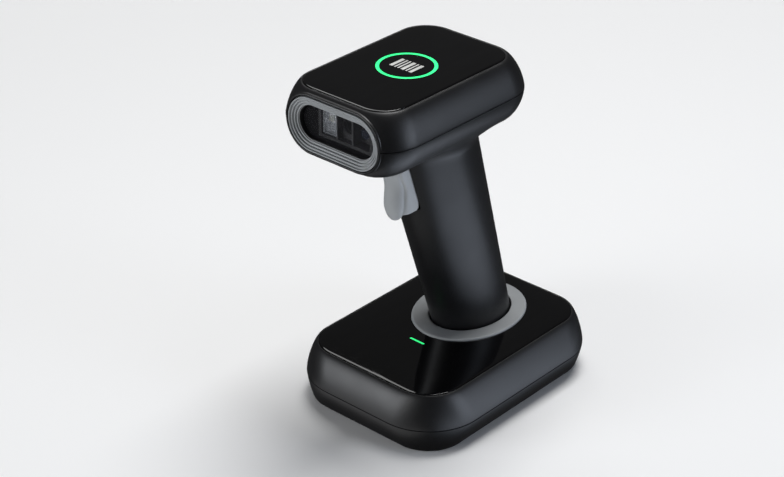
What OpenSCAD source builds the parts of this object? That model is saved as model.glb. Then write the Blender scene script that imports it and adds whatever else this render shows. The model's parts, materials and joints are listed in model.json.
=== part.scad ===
// Cordless gun-shaped barcode scanner standing in its charging cradle.
// Millimetres. +Z is up, the scan window faces -Y, and X = 0 is the plane of symmetry.
// The origin is on the table, under the middle of the whole object's box.

/* [Cradle] */
// Width of the cradle at its parting line
cradle_w = 92; // [91:0.5:94]
// Length of the cradle at its parting line
cradle_l = 122.6; // [121:0.5:126]
// Corner radius of the cradle at its parting line
cradle_r = 27.5; // [25:0.5:29]
// Height of the glossy top face above the table
cradle_h = 28.5; // [28:0.25:30]
// Height of the line where the two cradle shells meet
cradle_split = 12.9; // [12.5:0.1:13.5]
// Width of the cradle's glossy top plate
deck_w = 76.6; // [76:0.2:78]
// Length of the cradle's glossy top plate
deck_l = 107.8; // [107:0.2:109]
// Corner radius of the cradle's glossy top plate
deck_r = 16; // [14:0.5:17]
// Width of the underside of the cradle
base_w = 81.6; // [80:0.2:82]
// Length of the underside of the cradle
base_l = 113.8; // [112:0.2:114]
// How far the rubber feet stand below the underside
foot_h = 0.9; // [0.8:0.1:1.2]

/* [Socket] */
// Distance of the socket's middle behind the middle of the cradle
well_y = 16.9; // [16.5:0.1:17.3]
// Lean of the handle and of the socket, forwards from upright, in degrees
lean = 17.1; // [16.5:0.1:17.5]
// Depth of the handle in the socket, along the handle
well_depth = 14; // [13.5:0.1:14.2]
// Gap between the handle and the socket wall, all round
well_gap = 0.7; // [0.5:0.1:0.8]
// Width of the grey ring around the socket
ring_w = 48.4; // [48:0.2:50]
// Length of the grey ring around the socket
ring_l = 59.4; // [59:0.2:61]

/* [Handle] */
// Width of the handle where it enters the cradle
grip_w = 32; // [31.6:0.2:32.6]
// Depth of the handle, square to its axis, where it enters the cradle
grip_d = 40.5; // [40:0.1:41]
// Width that the handle gains for each millimetre of its length
grip_widen = 0.0602; // [0.055:0.001:0.065]
// Depth that the handle gains for each millimetre of its length
grip_deepen = 0.0474; // [0.043:0.001:0.052]
// Wall of the moulded housings
wall = 2.2; // [2:0.1:2.3]

/* [Head] */
// Width of the head at its parting line
head_w = 67.2; // [66.8:0.2:68]
// Length of the head at its parting line, before the flat front is cut
head_l = 100.3; // [100:0.1:101]
// Corner radius of the head at its parting line
head_r = 20; // [19:0.5:21]
// Height of the line where the head's two housings meet
head_z = 152; // [151.8:0.1:152.4]
// Height of the head above its parting line
head_up = 15.1; // [15:0.1:15.3]
// Depth of the head below its parting line
head_down = 15.5; // [15.3:0.1:15.6]
// Distance of the head's middle in front of the middle of the cradle
head_forward = 28.2; // [28:0.1:28.4]
// Distance from the head's middle to its flat front
nose_y = 45.4; // [45:0.1:45.8]
// Width of the head's glossy top plate
visor_w = 52.3; // [52:0.1:53]
// Length of the head's glossy top plate
visor_l = 82.7; // [82:0.1:83]
// Corner radius of the head's glossy top plate
visor_r = 12.1; // [11:0.1:13]
// Outer radius of the green status ring
halo_r = 13.1; // [12.8:0.1:13.4]
// Width of the green status ring's band
halo_band = 1.5; // [1.2:0.1:1.8]

/* [Scan window] */
// Width of the grey bezel
bezel_w = 50; // [49.6:0.2:50.2]
// Height of the grey bezel
bezel_h = 24.3; // [24:0.1:24.5]
// Number of steps that the bezel takes inwards
bezel_steps = 4; // [3:1:5]
// Total width of the steps, from the bezel's edge to its opening
bezel_funnel = 4.5; // [4.2:0.1:4.8]

/* [Trigger] */
// Width of the trigger
trigger_w = 13.4; // [13:0.1:13.6]
// Width of the trigger's finger pad
pad_w = 9.8; // [9:0.1:10.4]
// Gap between the trigger and the sides of its slot
trigger_gap = 0.35; // [0.3:0.05:0.4]
// Radius of the trigger's hinge pin
pivot_r = 1; // [0.9:0.05:1.1]
// Height of the hinge pin below the head's parting line
pivot_down = 10.5; // [10.3:0.1:10.7]
// Distance of the hinge pin in front of the head's middle
pivot_forward = 6.3; // [6.1:0.1:6.5]

/* [Hidden] */

$fn = 64;
// Gap between two pieces of one assembly that lie side by side
fit = 0.15;
// Smallest overlap that joins two shapes into one solid
join = 0.2;
// Extra length of a cutting shape past the face that it cuts
past = 1;

// The cradle's middle stands behind the origin, so that the whole object is centred on it
nose_front = head_forward + nose_y + 0.4;
cradle_y = (nose_front - cradle_l / 2) / 2;
// The bezel stands this far in front of the head's flat front
bezel_proud = 0.4;

// Glossy plates
plate_t = 1.6;
plate_proud = 0.4;
rim_w = 0.75;
shelf_t = 2;
deck_z = cradle_h - plate_t;
visor_z = head_up - plate_t;
visor_y = -0.9;

// Exponents of the rounded sides, where 1 is a straight slope and 2 is an ellipse
cradle_round_up = 1.36;
cradle_round_down = 1.2;
head_round_up = 1.44;
head_round_down = 1.74;

// Outlines as [half width, half length, corner radius, y of the middle]
cradle_wide = [cradle_w / 2, cradle_l / 2, cradle_r, 0];
cradle_rim = [deck_w / 2 + rim_w, deck_l / 2 + rim_w, deck_r + rim_w, 0];
cradle_base = [base_w / 2, base_l / 2, 18, 0];
head_wide = [head_w / 2, head_l / 2, head_r, 0];
head_rim = [visor_w / 2 + rim_w, visor_l / 2 + rim_w, visor_r + rim_w, visor_y];
head_base = [21.8, 41.1, 8.5, 0];
inset = [wall, wall, wall, 0];

// Cradle heights
floor_z = foot_h + wall;
cradle_screw_at = [30, 27];
cradle_screw_seat = 4.5;
cradle_boss_top = 6.5;
board_post_at = [[19, -45], [19, -12]];
board_post_top = 10;
board_t = 1.6;
foot_at = [29, 44];
foot_r = 6.5;
foot_pocket = 0.7;
led_y = -20.4;
led_slot = [8.3, 1];

// Socket
ring_y = 16;
ring_proud = 0.9;
flange_w = ring_w - 4.4;
flange_l = ring_l - 4.4;
cup_wall = 1.6;
cup_floor = 1.8;
rest_gap = 0.05;

// USB-C inlet in the cradle's back wall
usb_z = 7.6;
usb_mouth = cradle_l / 2 - 2.1;
usb_half_w = 4.47;
usb_half_h = 1.63;
usb_depth = 7.35;

// Contacts between the cradle and the handle, in the handle's own frame
contact_x = [-6, -2, 2, 6];
contact_r = 1;
pad_r = 1.5;
pad_recess = 0.8;
pin_gap = 0.05;
pin_block_h = 6;

// Handle, in its own frame: origin in the socket's mouth, +Z up the handle
cap_t = 3;
grip_start = cap_t - well_depth;
grip_end = 119;
flare_r = 8.5;
flare_end = head_z - head_down - cradle_h + 0.45;
flare_start = flare_end - flare_r * 0.9;
battery_r = 9.2;
battery_l = 65;
battery_at = [0, 1, 4];
end_screw_y = 14;

// Head, in its own frame: origin in the middle of the parting outline
head_screw_at = [[20, -27.8], [19, 38.2]];
screw_r = 1.1;
screw_hole_r = 1.12;
bezel_depth = wall + 1.6;
bezel_step = bezel_funnel / bezel_steps;
step_deep = 0.37;
flange_grow = 1.4;
rim_grow = 1.6;
window_t = 1.2;
engine_front = -39.6;
engine_back = -25.1;
engine_x = [-13.3, 16.5];
engine_z = [-7, 7.8];
lamp_bay = [-11.7, -3.2];
camera_bay = [-2.6, 5.2];
aimer_bay = [6.2, 15.3];
bay_z = [-5.6, 6.4];
camera_x = 1.3;
lamp_x = [-9.5, -5.5];
aimer_x = 10.75;
lens_z = 0.4;
board_z = 5.5;
pivot = [0, -pivot_forward, -pivot_down];
bore_gap = 0.05;
switch_z = -34;
spring_z = -43;
spring_seat_r = 2.9;
spring_seat_gap = 0.1;
switch_front = 4.6;
nub_y = 0.7;
nub_r = 1.5;
skirt_end = -51;
cheek_x = 8.9;
bracket_screw_at = [16, -20];
bracket_z = wall - head_down + 0.1;
bracket_t = 1.6;
bracket_screw_l = 3.2;

shell_black = [0.09, 0.09, 0.10];
gloss_black = [0.03, 0.03, 0.035];
trim_grey = [0.52, 0.54, 0.55];
lit_green = [0.15, 0.9, 0.4];
board_green = [0.08, 0.3, 0.15];
steel = [0.7, 0.7, 0.72];
gold = [0.85, 0.68, 0.3];
clear = [0.8, 0.85, 0.9, 0.4];

// ---- Shapes that repeat ----

// How far out a rounded side stands at t, from 0 at its widest to 1 at its end, on a curve of exponent n
function side_out(q, n) = pow(cos(q), 2 / n);
function side_up(q, n) = pow(sin(q), 2 / n);

// A ring of points around a rounded rectangle at height z
function outline_ring(o, z, steps = 7) = [
    for (corner = [0:3], i = [0:steps])
    let (t = 90 * (corner + i / steps))
    let (sx = (corner == 0 || corner == 3) ? 1 : -1)
    let (sy = (corner < 2) ? 1 : -1)
    [sx * (o[0] - o[2]) + o[2] * cos(t), o[3] + sy * (o[1] - o[2]) + o[2] * sin(t), z]
];

// Rings from the outline wide at z0 to the outline tip at z1, along a rounded side
function pillow_rings(wide, tip, z0, z1, n, levels = 7) = [
    for (k = [0:levels])
    let (q = 90 * k / levels)
    outline_ring(tip + (wide - tip) * side_out(q, n), z0 + (z1 - z0) * side_up(q, n))
];

function reversed(list) = [for (i = [len(list) - 1:-1:0]) list[i]];

// A ring of points around an ellipse
function ellipse_ring(a, b, z, steps = 48) = [
    for (i = [0:steps - 1])
    let (t = 360 * i / steps)
    [a * cos(t), b * sin(t), z]
];

function flat_points(ring) = [for (p = ring) [p[0], p[1]]];

// Points of a cubic curve through its first and last control points
function bezier(a, b, c, d, steps = 8) = [
    for (i = [0:steps])
    let (t = i / steps)
    a * pow(1 - t, 3) + 3 * b * t * pow(1 - t, 2) + 3 * c * pow(t, 2) * (1 - t) + d * pow(t, 3)
];

// Growth of the handle at height h above the socket's mouth, where it flares out under the head
function flare(h) =
    h <= flare_start ? 0 : flare_r - sqrt(max(0, pow(flare_r, 2) - pow(min(h, flare_end) - flare_start, 2)));
// Half width and half depth of the handle at w along its axis
function grip_a(w) = (grip_w + grip_widen * w) / 2;
function grip_b(w) = (grip_d + grip_deepen * w) / 2;

// A closed solid through rings that run anticlockwise about the way they advance
module loft(rings) {
    n = len(rings[0]);
    last = len(rings) - 1;
    points = [for (ring = rings, p = ring) p];
    sides = [
        for (k = [0:last - 1], i = [0:n - 1])
        let (a = k * n + i, b = k * n + (i + 1) % n)
        each [[a, a + n, b + n], [a, b + n, b]]
    ];
    start_cap = [[for (i = [0:n - 1]) i]];
    end_cap = [[for (i = [n - 1:-1:0]) last * n + i]];
    polyhedron(points, concat(start_cap, sides, end_cap), convexity = 6);
}

// A flat slab with a rounded rectangle as its outline and its underside at z = 0
module rounded_slab(a, b, r, h) {
    linear_extrude(h) {
        square([2 * a, 2 * (b - r)], center = true);
        square([2 * (a - r), 2 * b], center = true);
        for (x = [-1, 1], y = [-1, 1]) translate([x * (a - r), y * (b - r)]) circle(r);
    }
}

// A bar with fully rounded ends, standing along -Y from y = 0 and centred on z = 0
module stadium_bar(half_w, half_h, depth) {
    rotate([90, 0, 0]) linear_extrude(depth) {
        square([2 * (half_w - half_h), 2 * half_h], center = true);
        for (x = [-1, 1]) translate([x * (half_w - half_h), 0]) circle(half_h);
    }
}

// An upright block that spans the given limits
module span(x, y, z) {
    translate([x[0], y[0], z[0]]) cube([x[1] - x[0], y[1] - y[0], z[1] - z[0]]);
}

// An upright elliptical slab between z0 and z1
module oval(w, l, z0, z1) {
    translate([0, 0, z0]) linear_extrude(z1 - z0) polygon(flat_points(ellipse_ring(w / 2, l / 2, 0)));
}

module at_corners(at) {
    for (x = [-1, 1], y = [-1, 1]) translate([x * at[0], y * at[1], 0]) children();
}

module at_both_sides(places) {
    for (x = [-1, 1], p = places) translate([x * p[0], p[1], 0]) children();
}

// A screw pointing up: its head's underside at z = 0, with a cross recess below
module pan_screw(shank_r, length, head_r, head_h) {
    cross = [head_r * 1.1, shank_r * 0.45, head_h * 0.55];
    difference() {
        union() {
            translate([0, 0, -head_h]) cylinder(r = head_r, h = head_h);
            translate([0, 0, -join]) cylinder(r = shank_r, h = length + join);
        }
        for (turn = [0, 90]) rotate([0, 0, turn])
            translate([-cross[0] / 2, -cross[1] / 2, -head_h - join]) cube(cross + [0, 0, join]);
    }
}

// A round-wire spring along +Z from z = 0
module coil_spring(coil_r, wire_r, length, turns, per_turn = 12, sides = 6) {
    steps = turns * per_turn;
    rise = (length - 2 * wire_r) / steps;
    loft([
        for (i = [0:steps])
        let (a = 360 * i / per_turn)
        [
            for (j = [0:sides - 1])
            let (q = -360 * j / sides)
            let (r = coil_r + wire_r * cos(q))
            [r * cos(a), r * sin(a), wire_r + rise * i + wire_r * sin(q)]
        ]
    ]);
}

// Frames of the three main bodies
module in_cradle() { translate([0, cradle_y, 0]) children(); }
module in_mouth() { translate([0, cradle_y + well_y, cradle_h]) children(); }
module in_handle() { in_mouth() rotate([lean, 0, 0]) children(); }
module in_head() { translate([0, cradle_y - head_forward, head_z]) children(); }

// ---- Cradle ----

// The leaning elliptical space that the handle stands in, from the socket floor upwards
module well_space(extra = 0, z0 = -well_depth - rest_gap, z1 = 10) {
    translate([0, 0, z0]) linear_extrude(z1 - z0)
        polygon(flat_points(ellipse_ring(grip_a(0) + well_gap + extra, grip_b(0) + well_gap + extra, 0)));
}

module cradle_upper_shell() {
    inner_tip = [deck_w / 2 + 0.9, deck_l / 2 + 0.9, deck_r + 0.9, 0];
    color(shell_black) in_cradle() difference() {
        union() {
            difference() {
                loft(pillow_rings(cradle_wide, cradle_rim, cradle_split, cradle_h - plate_proud,
                    cradle_round_up));
                loft(concat(
                    [outline_ring(cradle_wide - inset, cradle_split - past)],
                    pillow_rings(cradle_wide - inset, inner_tip, cradle_split, deck_z - shelf_t,
                        cradle_round_up)
                ));
            }
            at_corners(cradle_screw_at) translate([0, 0, cradle_boss_top + 0.1])
                cylinder(r = 3.2, h = deck_z - shelf_t + join - cradle_boss_top - 0.1);
        }
        translate([0, 0, deck_z])
            rounded_slab(deck_w / 2 + fit, deck_l / 2 + fit, deck_r + fit, plate_t + past);
        translate([0, ring_y, 0])
            oval(flange_w + 2 * fit, flange_l + 2 * fit, deck_z - shelf_t - past, deck_z + past);
        translate([0, led_y, deck_z - shelf_t - past])
            linear_extrude(shelf_t + 2 * past) square(led_slot + [2 * fit, 2 * fit], center = true);
        at_corners(cradle_screw_at) cylinder(r = 1.32, h = 17);
    }
}

module cradle_lower_shell() {
    base_in = cradle_base - inset - [0.2, 0.2, 0.2, 0];
    wide_in = cradle_wide - inset;
    color(shell_black) in_cradle() difference() {
        union() {
            difference() {
                loft(reversed(pillow_rings(cradle_wide, cradle_base, cradle_split, foot_h,
                    cradle_round_down)));
                loft(concat(
                    reversed(pillow_rings(wide_in, base_in, cradle_split, floor_z, cradle_round_down)),
                    [outline_ring(wide_in, cradle_split + past)]
                ));
            }
            at_corners(cradle_screw_at) translate([0, 0, floor_z - join])
                cylinder(r = 4.8, h = cradle_boss_top - floor_z + join);
            at_both_sides(board_post_at) translate([0, 0, floor_z - join])
                cylinder(r = 2.5, h = board_post_top - floor_z + join);
            for (x = [-1, 1]) span([x * 9 - 1.5, x * 9 + 1.5], [46, 54.5], [floor_z - join, usb_z - 3.3]);
        }
        at_corners(cradle_screw_at) {
            translate([0, 0, foot_h - past]) cylinder(r = 3, h = cradle_screw_seat - foot_h + past);
            cylinder(r = 1.5, h = cradle_boss_top + past);
        }
        at_corners(foot_at) translate([0, 0, foot_h - past])
            cylinder(r = foot_r + fit, h = foot_pocket + past);
        at_both_sides(board_post_at) translate([0, 0, board_post_top - 5]) cylinder(r = 0.92, h = 5 + past);
        translate([0, cradle_l / 2 + past, usb_z]) stadium_bar(usb_half_w + 0.3, usb_half_h + 0.3, 8);
    }
}

module cradle_top_plate() {
    color(gloss_black) in_cradle() difference() {
        translate([0, 0, deck_z]) rounded_slab(deck_w / 2, deck_l / 2, deck_r, plate_t);
        translate([0, ring_y, 0]) oval(ring_w + 2 * fit, ring_l + 2 * fit, deck_z - past, cradle_h + past);
        translate([0, led_y, deck_z - past])
            linear_extrude(plate_t + 2 * past) square(led_slot + [0.1, 0.1], center = true);
    }
}

module socket_ring() {
    color(trim_grey) difference() {
        in_cradle() translate([0, ring_y, 0]) oval(ring_w, ring_l, deck_z, cradle_h + ring_proud);
        in_handle() well_space(z0 = -10);
    }
}

module socket_cup() {
    low = -well_depth - rest_gap;
    color(shell_black) difference() {
        union() {
            in_cradle() translate([0, ring_y, 0]) oval(flange_w, flange_l, deck_z - shelf_t, deck_z);
            difference() {
                in_handle() well_space(extra = cup_wall, z0 = low - cup_floor);
                in_cradle() span([-60, 60], [-60, 60], [deck_z, 60]);
            }
        }
        in_handle() {
            well_space(z0 = low);
            for (x = contact_x) translate([x, 0, low - cup_floor - past])
                cylinder(r = contact_r + bore_gap, h = cup_floor + 2 * past);
        }
    }
}

module cradle_light_pipe() {
    color(lit_green) in_cradle() translate([0, led_y, board_post_top + board_t + 0.9])
        linear_extrude(cradle_h - board_post_top - board_t - 0.9) square(led_slot, center = true);
}

module cradle_status_led() {
    color("white") in_cradle() translate([0, led_y, board_post_top + board_t])
        linear_extrude(0.8) square([3.2, 1.6], center = true);
}

module cradle_board() {
    top = board_post_top + board_t;
    color(board_green) in_cradle() difference() {
        union() {
            span([-22, 22], [-48, -9], [board_post_top, top]);
            span([-6, -1], [-34, -29], [top - join, top + 1]);
            span([6, 11], [-40, -34], [top - join, top + 2.2]);
            span([-14, -8], [-18, -12], [top - join, top + 5]);
        }
        at_both_sides(board_post_at) cylinder(r = 1.1, h = 20);
    }
}

module cradle_board_screws() {
    color(steel) in_cradle() at_both_sides(board_post_at)
        translate([0, 0, board_post_top + board_t]) rotate([180, 0, 0]) pan_screw(0.9, 6, 1.9, 1.3);
}

module usb_c_receptacle() {
    color(steel) in_cradle() translate([0, usb_mouth, usb_z]) {
        difference() {
            stadium_bar(usb_half_w, usb_half_h, usb_depth);
            translate([0, past, 0]) stadium_bar(usb_half_w - 0.3, usb_half_h - 0.35, usb_depth - 1.2 + past);
        }
        span([-3.35, 3.35], [join - usb_depth, -1.3], [-0.35, 0.35]);
    }
}

module usb_board() {
    color(board_green) in_cradle() span([-11.5, 11.5], [45.8, 54.5], [usb_z - 3.25, usb_z - usb_half_h]);
}

module contact_pin_block() {
    top = -well_depth - rest_gap - cup_floor;
    color("dimgray") in_handle() difference() {
        span([-9, 9], [-3, 3], [top - pin_block_h, top]);
        for (x = contact_x) translate([x, 0, top - pin_block_h + 0.8])
            cylinder(r = contact_r + bore_gap, h = pin_block_h);
    }
}

module contact_pins() {
    tip = pad_recess - well_depth - pin_gap;
    color(gold) in_handle() for (x = contact_x) translate([x, 0, tip - contact_r]) {
        sphere(contact_r);
        translate([0, 0, -3.2]) cylinder(r = contact_r, h = 3.2);
    }
}

module contact_pin_springs() {
    pin_foot = pad_recess - well_depth - pin_gap - contact_r - 3.2;
    seat = -well_depth - rest_gap - cup_floor - pin_block_h + 0.8;
    color(steel) in_handle() for (x = contact_x) translate([x, 0, seat])
        coil_spring(0.75, 0.15, pin_foot - seat, 5, 8, 5);
}

module ballast_plate() {
    color(steel) in_cradle() span([-15.5, 15.5], [-48, -10], [floor_z, floor_z + 5]);
}

module rubber_feet() {
    color("black") in_cradle() at_corners(foot_at) cylinder(r = foot_r, h = foot_h + foot_pocket);
}

module cradle_screws() {
    color(steel) in_cradle() at_corners(cradle_screw_at)
        translate([0, 0, cradle_screw_seat]) pan_screw(1.3, 11.5, 2.6, 1.8);
}

// ---- Head ----

// A bar along Y with the bezel's rounded-end section, between y0 and y1
module bezel_bar(grow, y0, y1) {
    translate([0, y1, 0]) stadium_bar(bezel_w / 2 + grow, bezel_h / 2 + grow, y1 - y0);
}

// Room behind the front wall for the bezel's flange
module bezel_groove() {
    bezel_bar(flange_grow + fit, wall + 0.25 - nose_y, wall + 1.75 - nose_y);
}

// The lip of the housings around the bezel, between two heights
module bezel_rim(z0, z1) {
    intersection() {
        bezel_bar(rim_grow, -nose_y, 3 - nose_y);
        span([-60, 60], [-60, 0], [z0, z1]);
    }
}

module head_upper_shell() {
    roof = visor_z - shelf_t;
    inner_tip = [visor_w / 2 + 1.1, visor_l / 2 + 1.1, visor_r + 1.1, visor_y];
    color(shell_black) in_head() difference() {
        union() {
            difference() {
                loft(pillow_rings(head_wide, head_rim, 0, head_up - plate_proud, head_round_up));
                intersection() {
                    loft(concat(
                        [outline_ring(head_wide - inset, -past)],
                        pillow_rings(head_wide - inset, inner_tip, 0, roof, head_round_up)
                    ));
                    span([-60, 60], [0.3 + wall - nose_y, 80], [-10, 40]);
                }
            }
            at_both_sides(head_screw_at) cylinder(r = 3.2, h = roof + join);
            bezel_rim(0, 20);
        }
        span([-60, 60], [-80, -nose_y], [-10, 40]);
        translate([0, visor_y, visor_z])
            rounded_slab(visor_w / 2 + fit, visor_l / 2 + fit, visor_r + fit, plate_t + past);
        bezel_bar(fit, -nose_y - past, -nose_y + 5);
        bezel_groove();
        cylinder(r = halo_r + 0.5, h = visor_z + past);
        at_both_sides(head_screw_at) {
            translate([0, 0, -past]) cylinder(r = 1.4, h = visor_z + 2 * past);
            translate([0, 0, visor_z - 1.3]) cylinder(r = 2.4, h = 1.3 + past);
        }
    }
}

module head_top_plate() {
    color(gloss_black) in_head() difference() {
        translate([0, visor_y, visor_z]) rounded_slab(visor_w / 2, visor_l / 2, visor_r, plate_t);
        translate([0, 0, head_up - 0.8]) difference() {
            cylinder(r = halo_r + 0.05, h = 0.8 + past);
            translate([0, 0, -past]) cylinder(r = halo_r - halo_band - 0.05, h = 3 * past);
        }
    }
}

module status_ring() {
    color(lit_green) in_head() translate([0, 0, head_up - 0.8]) difference() {
        cylinder(r = halo_r, h = 0.8);
        translate([0, 0, -past]) cylinder(r = halo_r - halo_band, h = 3 * past);
    }
}

module status_light_guide() {
    low = board_z + board_t + 1.2;
    color(clear) in_head() translate([0, 0, low]) difference() {
        cylinder(r = halo_r, h = visor_z - low);
        translate([0, 0, -past]) cylinder(r = halo_r - halo_band - 0.6, h = 12);
    }
}

module status_ring_leds() {
    color("white") in_head() for (i = [0:7]) rotate([0, 0, 45 * i + 22.5])
        translate([halo_r - 1.1, 0, board_z + board_t]) linear_extrude(1) square([1.6, 2], center = true);
}

module window_bezel() {
    opening = bezel_depth + bezel_proud;
    back = -nose_y + bezel_depth;
    color(trim_grey) in_head() difference() {
        union() {
            bezel_bar(0, -nose_y - bezel_proud, back);
            bezel_bar(flange_grow, wall + 0.4 - nose_y, wall + 1.6 - nose_y);
        }
        for (k = [1:bezel_steps])
            bezel_bar(-k * bezel_step, -nose_y - bezel_proud + (k - 1) * step_deep - (k == 1 ? past : 0),
                -nose_y - bezel_proud + k * step_deep + 0.01);
        bezel_bar(-bezel_funnel, -nose_y, back + past);
    }
}

module scan_window() {
    back = -nose_y + bezel_depth;
    color(clear) in_head() bezel_bar(-bezel_funnel + 0.8, back, back + window_t);
}

// The block that carries the camera, the aimer and the lights behind the window
module engine_chassis() {
    color([0.1, 0.1, 0.11]) in_head() difference() {
        span(engine_x, [engine_front, engine_back], engine_z);
        for (bay = [lamp_bay, aimer_bay]) span(bay, [engine_front - past, engine_front + 5], bay_z);
        span(camera_bay, [engine_front - past, engine_front + 3], bay_z);
        translate([camera_x, 0, lens_z]) rotate([90, 0, 0]) translate([0, 0, -engine_back - past])
            cylinder(r = 3.3, h = 20);
        translate([camera_x, engine_back + 0.5, lens_z]) cube([6.4, 4, 6.4], center = true);
    }
}

module engine_board() {
    color(board_green) in_head() difference() {
        span(engine_x, [engine_back, engine_back + 1.2], engine_z);
        for (x = [engine_x[0] + 2, engine_x[1] - 2]) translate([x, engine_back + 2, 5.6])
            rotate([90, 0, 0]) cylinder(r = 1, h = 4);
    }
}

module image_sensor() {
    color("dimgray") in_head() translate([camera_x, engine_back - 0.6, lens_z])
        cube([6, 1.2, 6], center = true);
}

module camera_barrel() {
    color([0.12, 0.12, 0.13]) in_head() translate([camera_x, 0, lens_z]) rotate([90, 0, 0]) difference() {
        translate([0, 0, -engine_back + 1.6]) cylinder(r = 3.25, h = 8.4);
        translate([0, 0, -engine_back]) cylinder(r = 2.4, h = 7);
        translate([0, 0, -engine_back + 8]) cylinder(r1 = 2, r2 = 3, h = 2 + join);
        cylinder(r = 1.2, h = 40);
    }
}

module camera_lens() {
    dish = 3.2;
    color(clear) in_head() translate([camera_x, 0, lens_z]) rotate([90, 0, 0]) intersection() {
        translate([0, 0, -engine_back + 4]) cylinder(r = 2.38, h = 2.6);
        translate([0, 0, -engine_back + 5.3 + 1.3 - dish]) sphere(dish);
    }
}

module illumination_lens() {
    color(clear) in_head() translate([0, engine_front + 0.6, 0]) difference() {
        span([lamp_bay[0] + 0.2, lamp_bay[1] - 0.2], [0, 3], [bay_z[0] + 0.3, bay_z[1] - 0.3]);
        for (x = lamp_x) translate([x, 4, lens_z]) rotate([90, 0, 0]) cylinder(r = 1.8, h = 2.2);
    }
}

module illumination_leds() {
    color("white") in_head() for (x = lamp_x) translate([x, engine_front + 4.4, lens_z])
        cube([3, 1.2, 3], center = true);
}

module aimer_lens() {
    color(clear) in_head() translate([aimer_x, engine_front + 5, lens_z]) rotate([90, 0, 0])
        cylinder(r = 2.2, h = 3);
}

module main_board() {
    color(board_green) in_head() {
        span([-15.4, 15.4], [-18, 40], [board_z, board_z + board_t]);
        span([-5, 5], [-12, -2], [board_z - 1.2, board_z + join]);
        span([-9, 9], [34, 38.5], [board_z - 3, board_z + join]);
    }
}

module beeper() {
    color([0.12, 0.12, 0.12]) in_head() translate([9, 18, board_z]) mirror([0, 0, 1]) difference() {
        cylinder(r = 6, h = 4.2);
        translate([0, 0, 2.2]) cylinder(r = 1, h = 3);
    }
}

module radio_module() {
    color(steel) in_head() span([-15, -1], [10, 28], [board_z - 2.4, board_z]);
}

module head_screws() {
    color(steel) in_head() at_both_sides(head_screw_at)
        translate([0, 0, visor_z - 1.3]) rotate([180, 0, 0]) pan_screw(screw_r, 18, 2.2, 1.2);
}

// ---- Lower housing and handle ----

// A level ring of the handle, in the frame of the socket's mouth, at height h above it
function level_ring(h, extra, flared) =
    let (w = h / cos(lean))
    let (out = extra + (flared ? flare(h) : 0))
    [
        for (p = ellipse_ring(grip_a(w) + out, grip_b(w) / cos(lean) + out, h))
        [p[0], p[1] - h * tan(lean), p[2]]
    ];

// A ring square to the handle's axis, in the frame of the socket's mouth, w along the axis
function square_ring(w, extra) = [
    for (p = ellipse_ring(grip_a(w) + extra, grip_b(w) + extra, w))
    [p[0], p[1] * cos(lean) - p[2] * sin(lean), p[1] * sin(lean) + p[2] * cos(lean)]
];

module head_lower_outer() {
    loft(reversed(pillow_rings(head_wide, head_base, 0, -head_down, head_round_down)));
}

module head_lower_space() {
    intersection() {
        loft(concat(
            reversed(pillow_rings(head_wide - inset, head_base - inset, 0, wall - head_down,
                head_round_down)),
            [outline_ring(head_wide - inset, past)]
        ));
        span([-60, 60], [0.3 + wall - nose_y, 80], [-40, 10]);
    }
}

module scanner_housing() {
    flare_heights = [for (k = [0:4]) flare_start + (flare_end - flare_start) * sin(90 * k / 4)];
    outer_heights = concat([12, 60], flare_heights, [grip_end]);
    slot_half = trigger_w / 2 + trigger_gap;
    color(shell_black) difference() {
        union() {
            difference() {
                union() {
                    in_head() head_lower_outer();
                    in_mouth() loft(concat(
                        [square_ring(grip_start, 0)],
                        [for (h = outer_heights) level_ring(h, 0, true)]
                    ));
                }
                in_head() head_lower_space();
                in_mouth() loft([
                    square_ring(grip_start - 4 * past, -wall),
                    level_ring(12, -wall, false),
                    level_ring(grip_end + past, -wall, false)
                ]);
            }
            in_head() at_both_sides(head_screw_at) translate([0, 0, join + wall - head_down - 0.8])
                cylinder(r = 3, h = head_down - wall - join + 0.8);
            in_head() bezel_rim(-20, 0);
            in_head() at_both_sides([bracket_screw_at]) translate([0, 0, bracket_z - 0.1 - join])
                cylinder(r = 2.6, h = join + 0.1);
            in_handle() for (y = [-1, 1]) {
                translate([0, y * end_screw_y, grip_start + 5]) cylinder(r = 3, h = 8);
                translate([-1.2, y * (end_screw_y + 2.2) - 2.2, grip_start + 5]) cube([2.4, 4.4, 8]);
            }
        }
        in_head() {
            span([-60, 60], [-80, -nose_y], [-40, past]);
            bezel_bar(fit, -nose_y - past, -nose_y + 5);
            bezel_groove();
            span([-slot_half, slot_half], [-14.6, 6], [skirt_end - 0.6, -12.6]);
            at_both_sides(head_screw_at) translate([0, 0, -9]) cylinder(r = screw_hole_r, h = 9 + past);
            at_both_sides([bracket_screw_at]) translate([0, 0, bracket_z - bracket_screw_l + bracket_t - 0.1])
                cylinder(r = 1.02, h = bracket_screw_l);
        }
        in_handle() for (y = [-1, 1]) translate([0, y * end_screw_y, grip_start + 4])
            cylinder(r = screw_hole_r, h = 9);
    }
}

// ---- Trigger ----

// Side outline of the trigger in the head's frame, from the hinge down the finger pad and back up
hollow_face = bezier([-13.2, -15], [-12.9, -24], [-10.2, -35], [-11.8, -45]);
finger_face = bezier([-11.8, -45], [-12.5, -48.5], [-10.6, -53.6], [-8.2, -53.8]);
heel = bezier([-8.2, -53.8], [-6.8, -53.9], [-5, -52.8], [-4.6, skirt_end], 4);
back_edge = [[1.5, skirt_end], [0.3, -40], [-1.5, -27], [-2.8, -15], [-3.1, pivot[2]], [-9.5, pivot[2]]];
skirt_front = [[-9.8, -15], [-9.6, -31], [-6.5, -37], [-6.3, -46], [-9, skirt_end]];

module side_extrusion(half_w, outline) {
    rotate([90, 0, 90]) translate([0, 0, -half_w]) linear_extrude(2 * half_w) polygon(outline);
}

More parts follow.
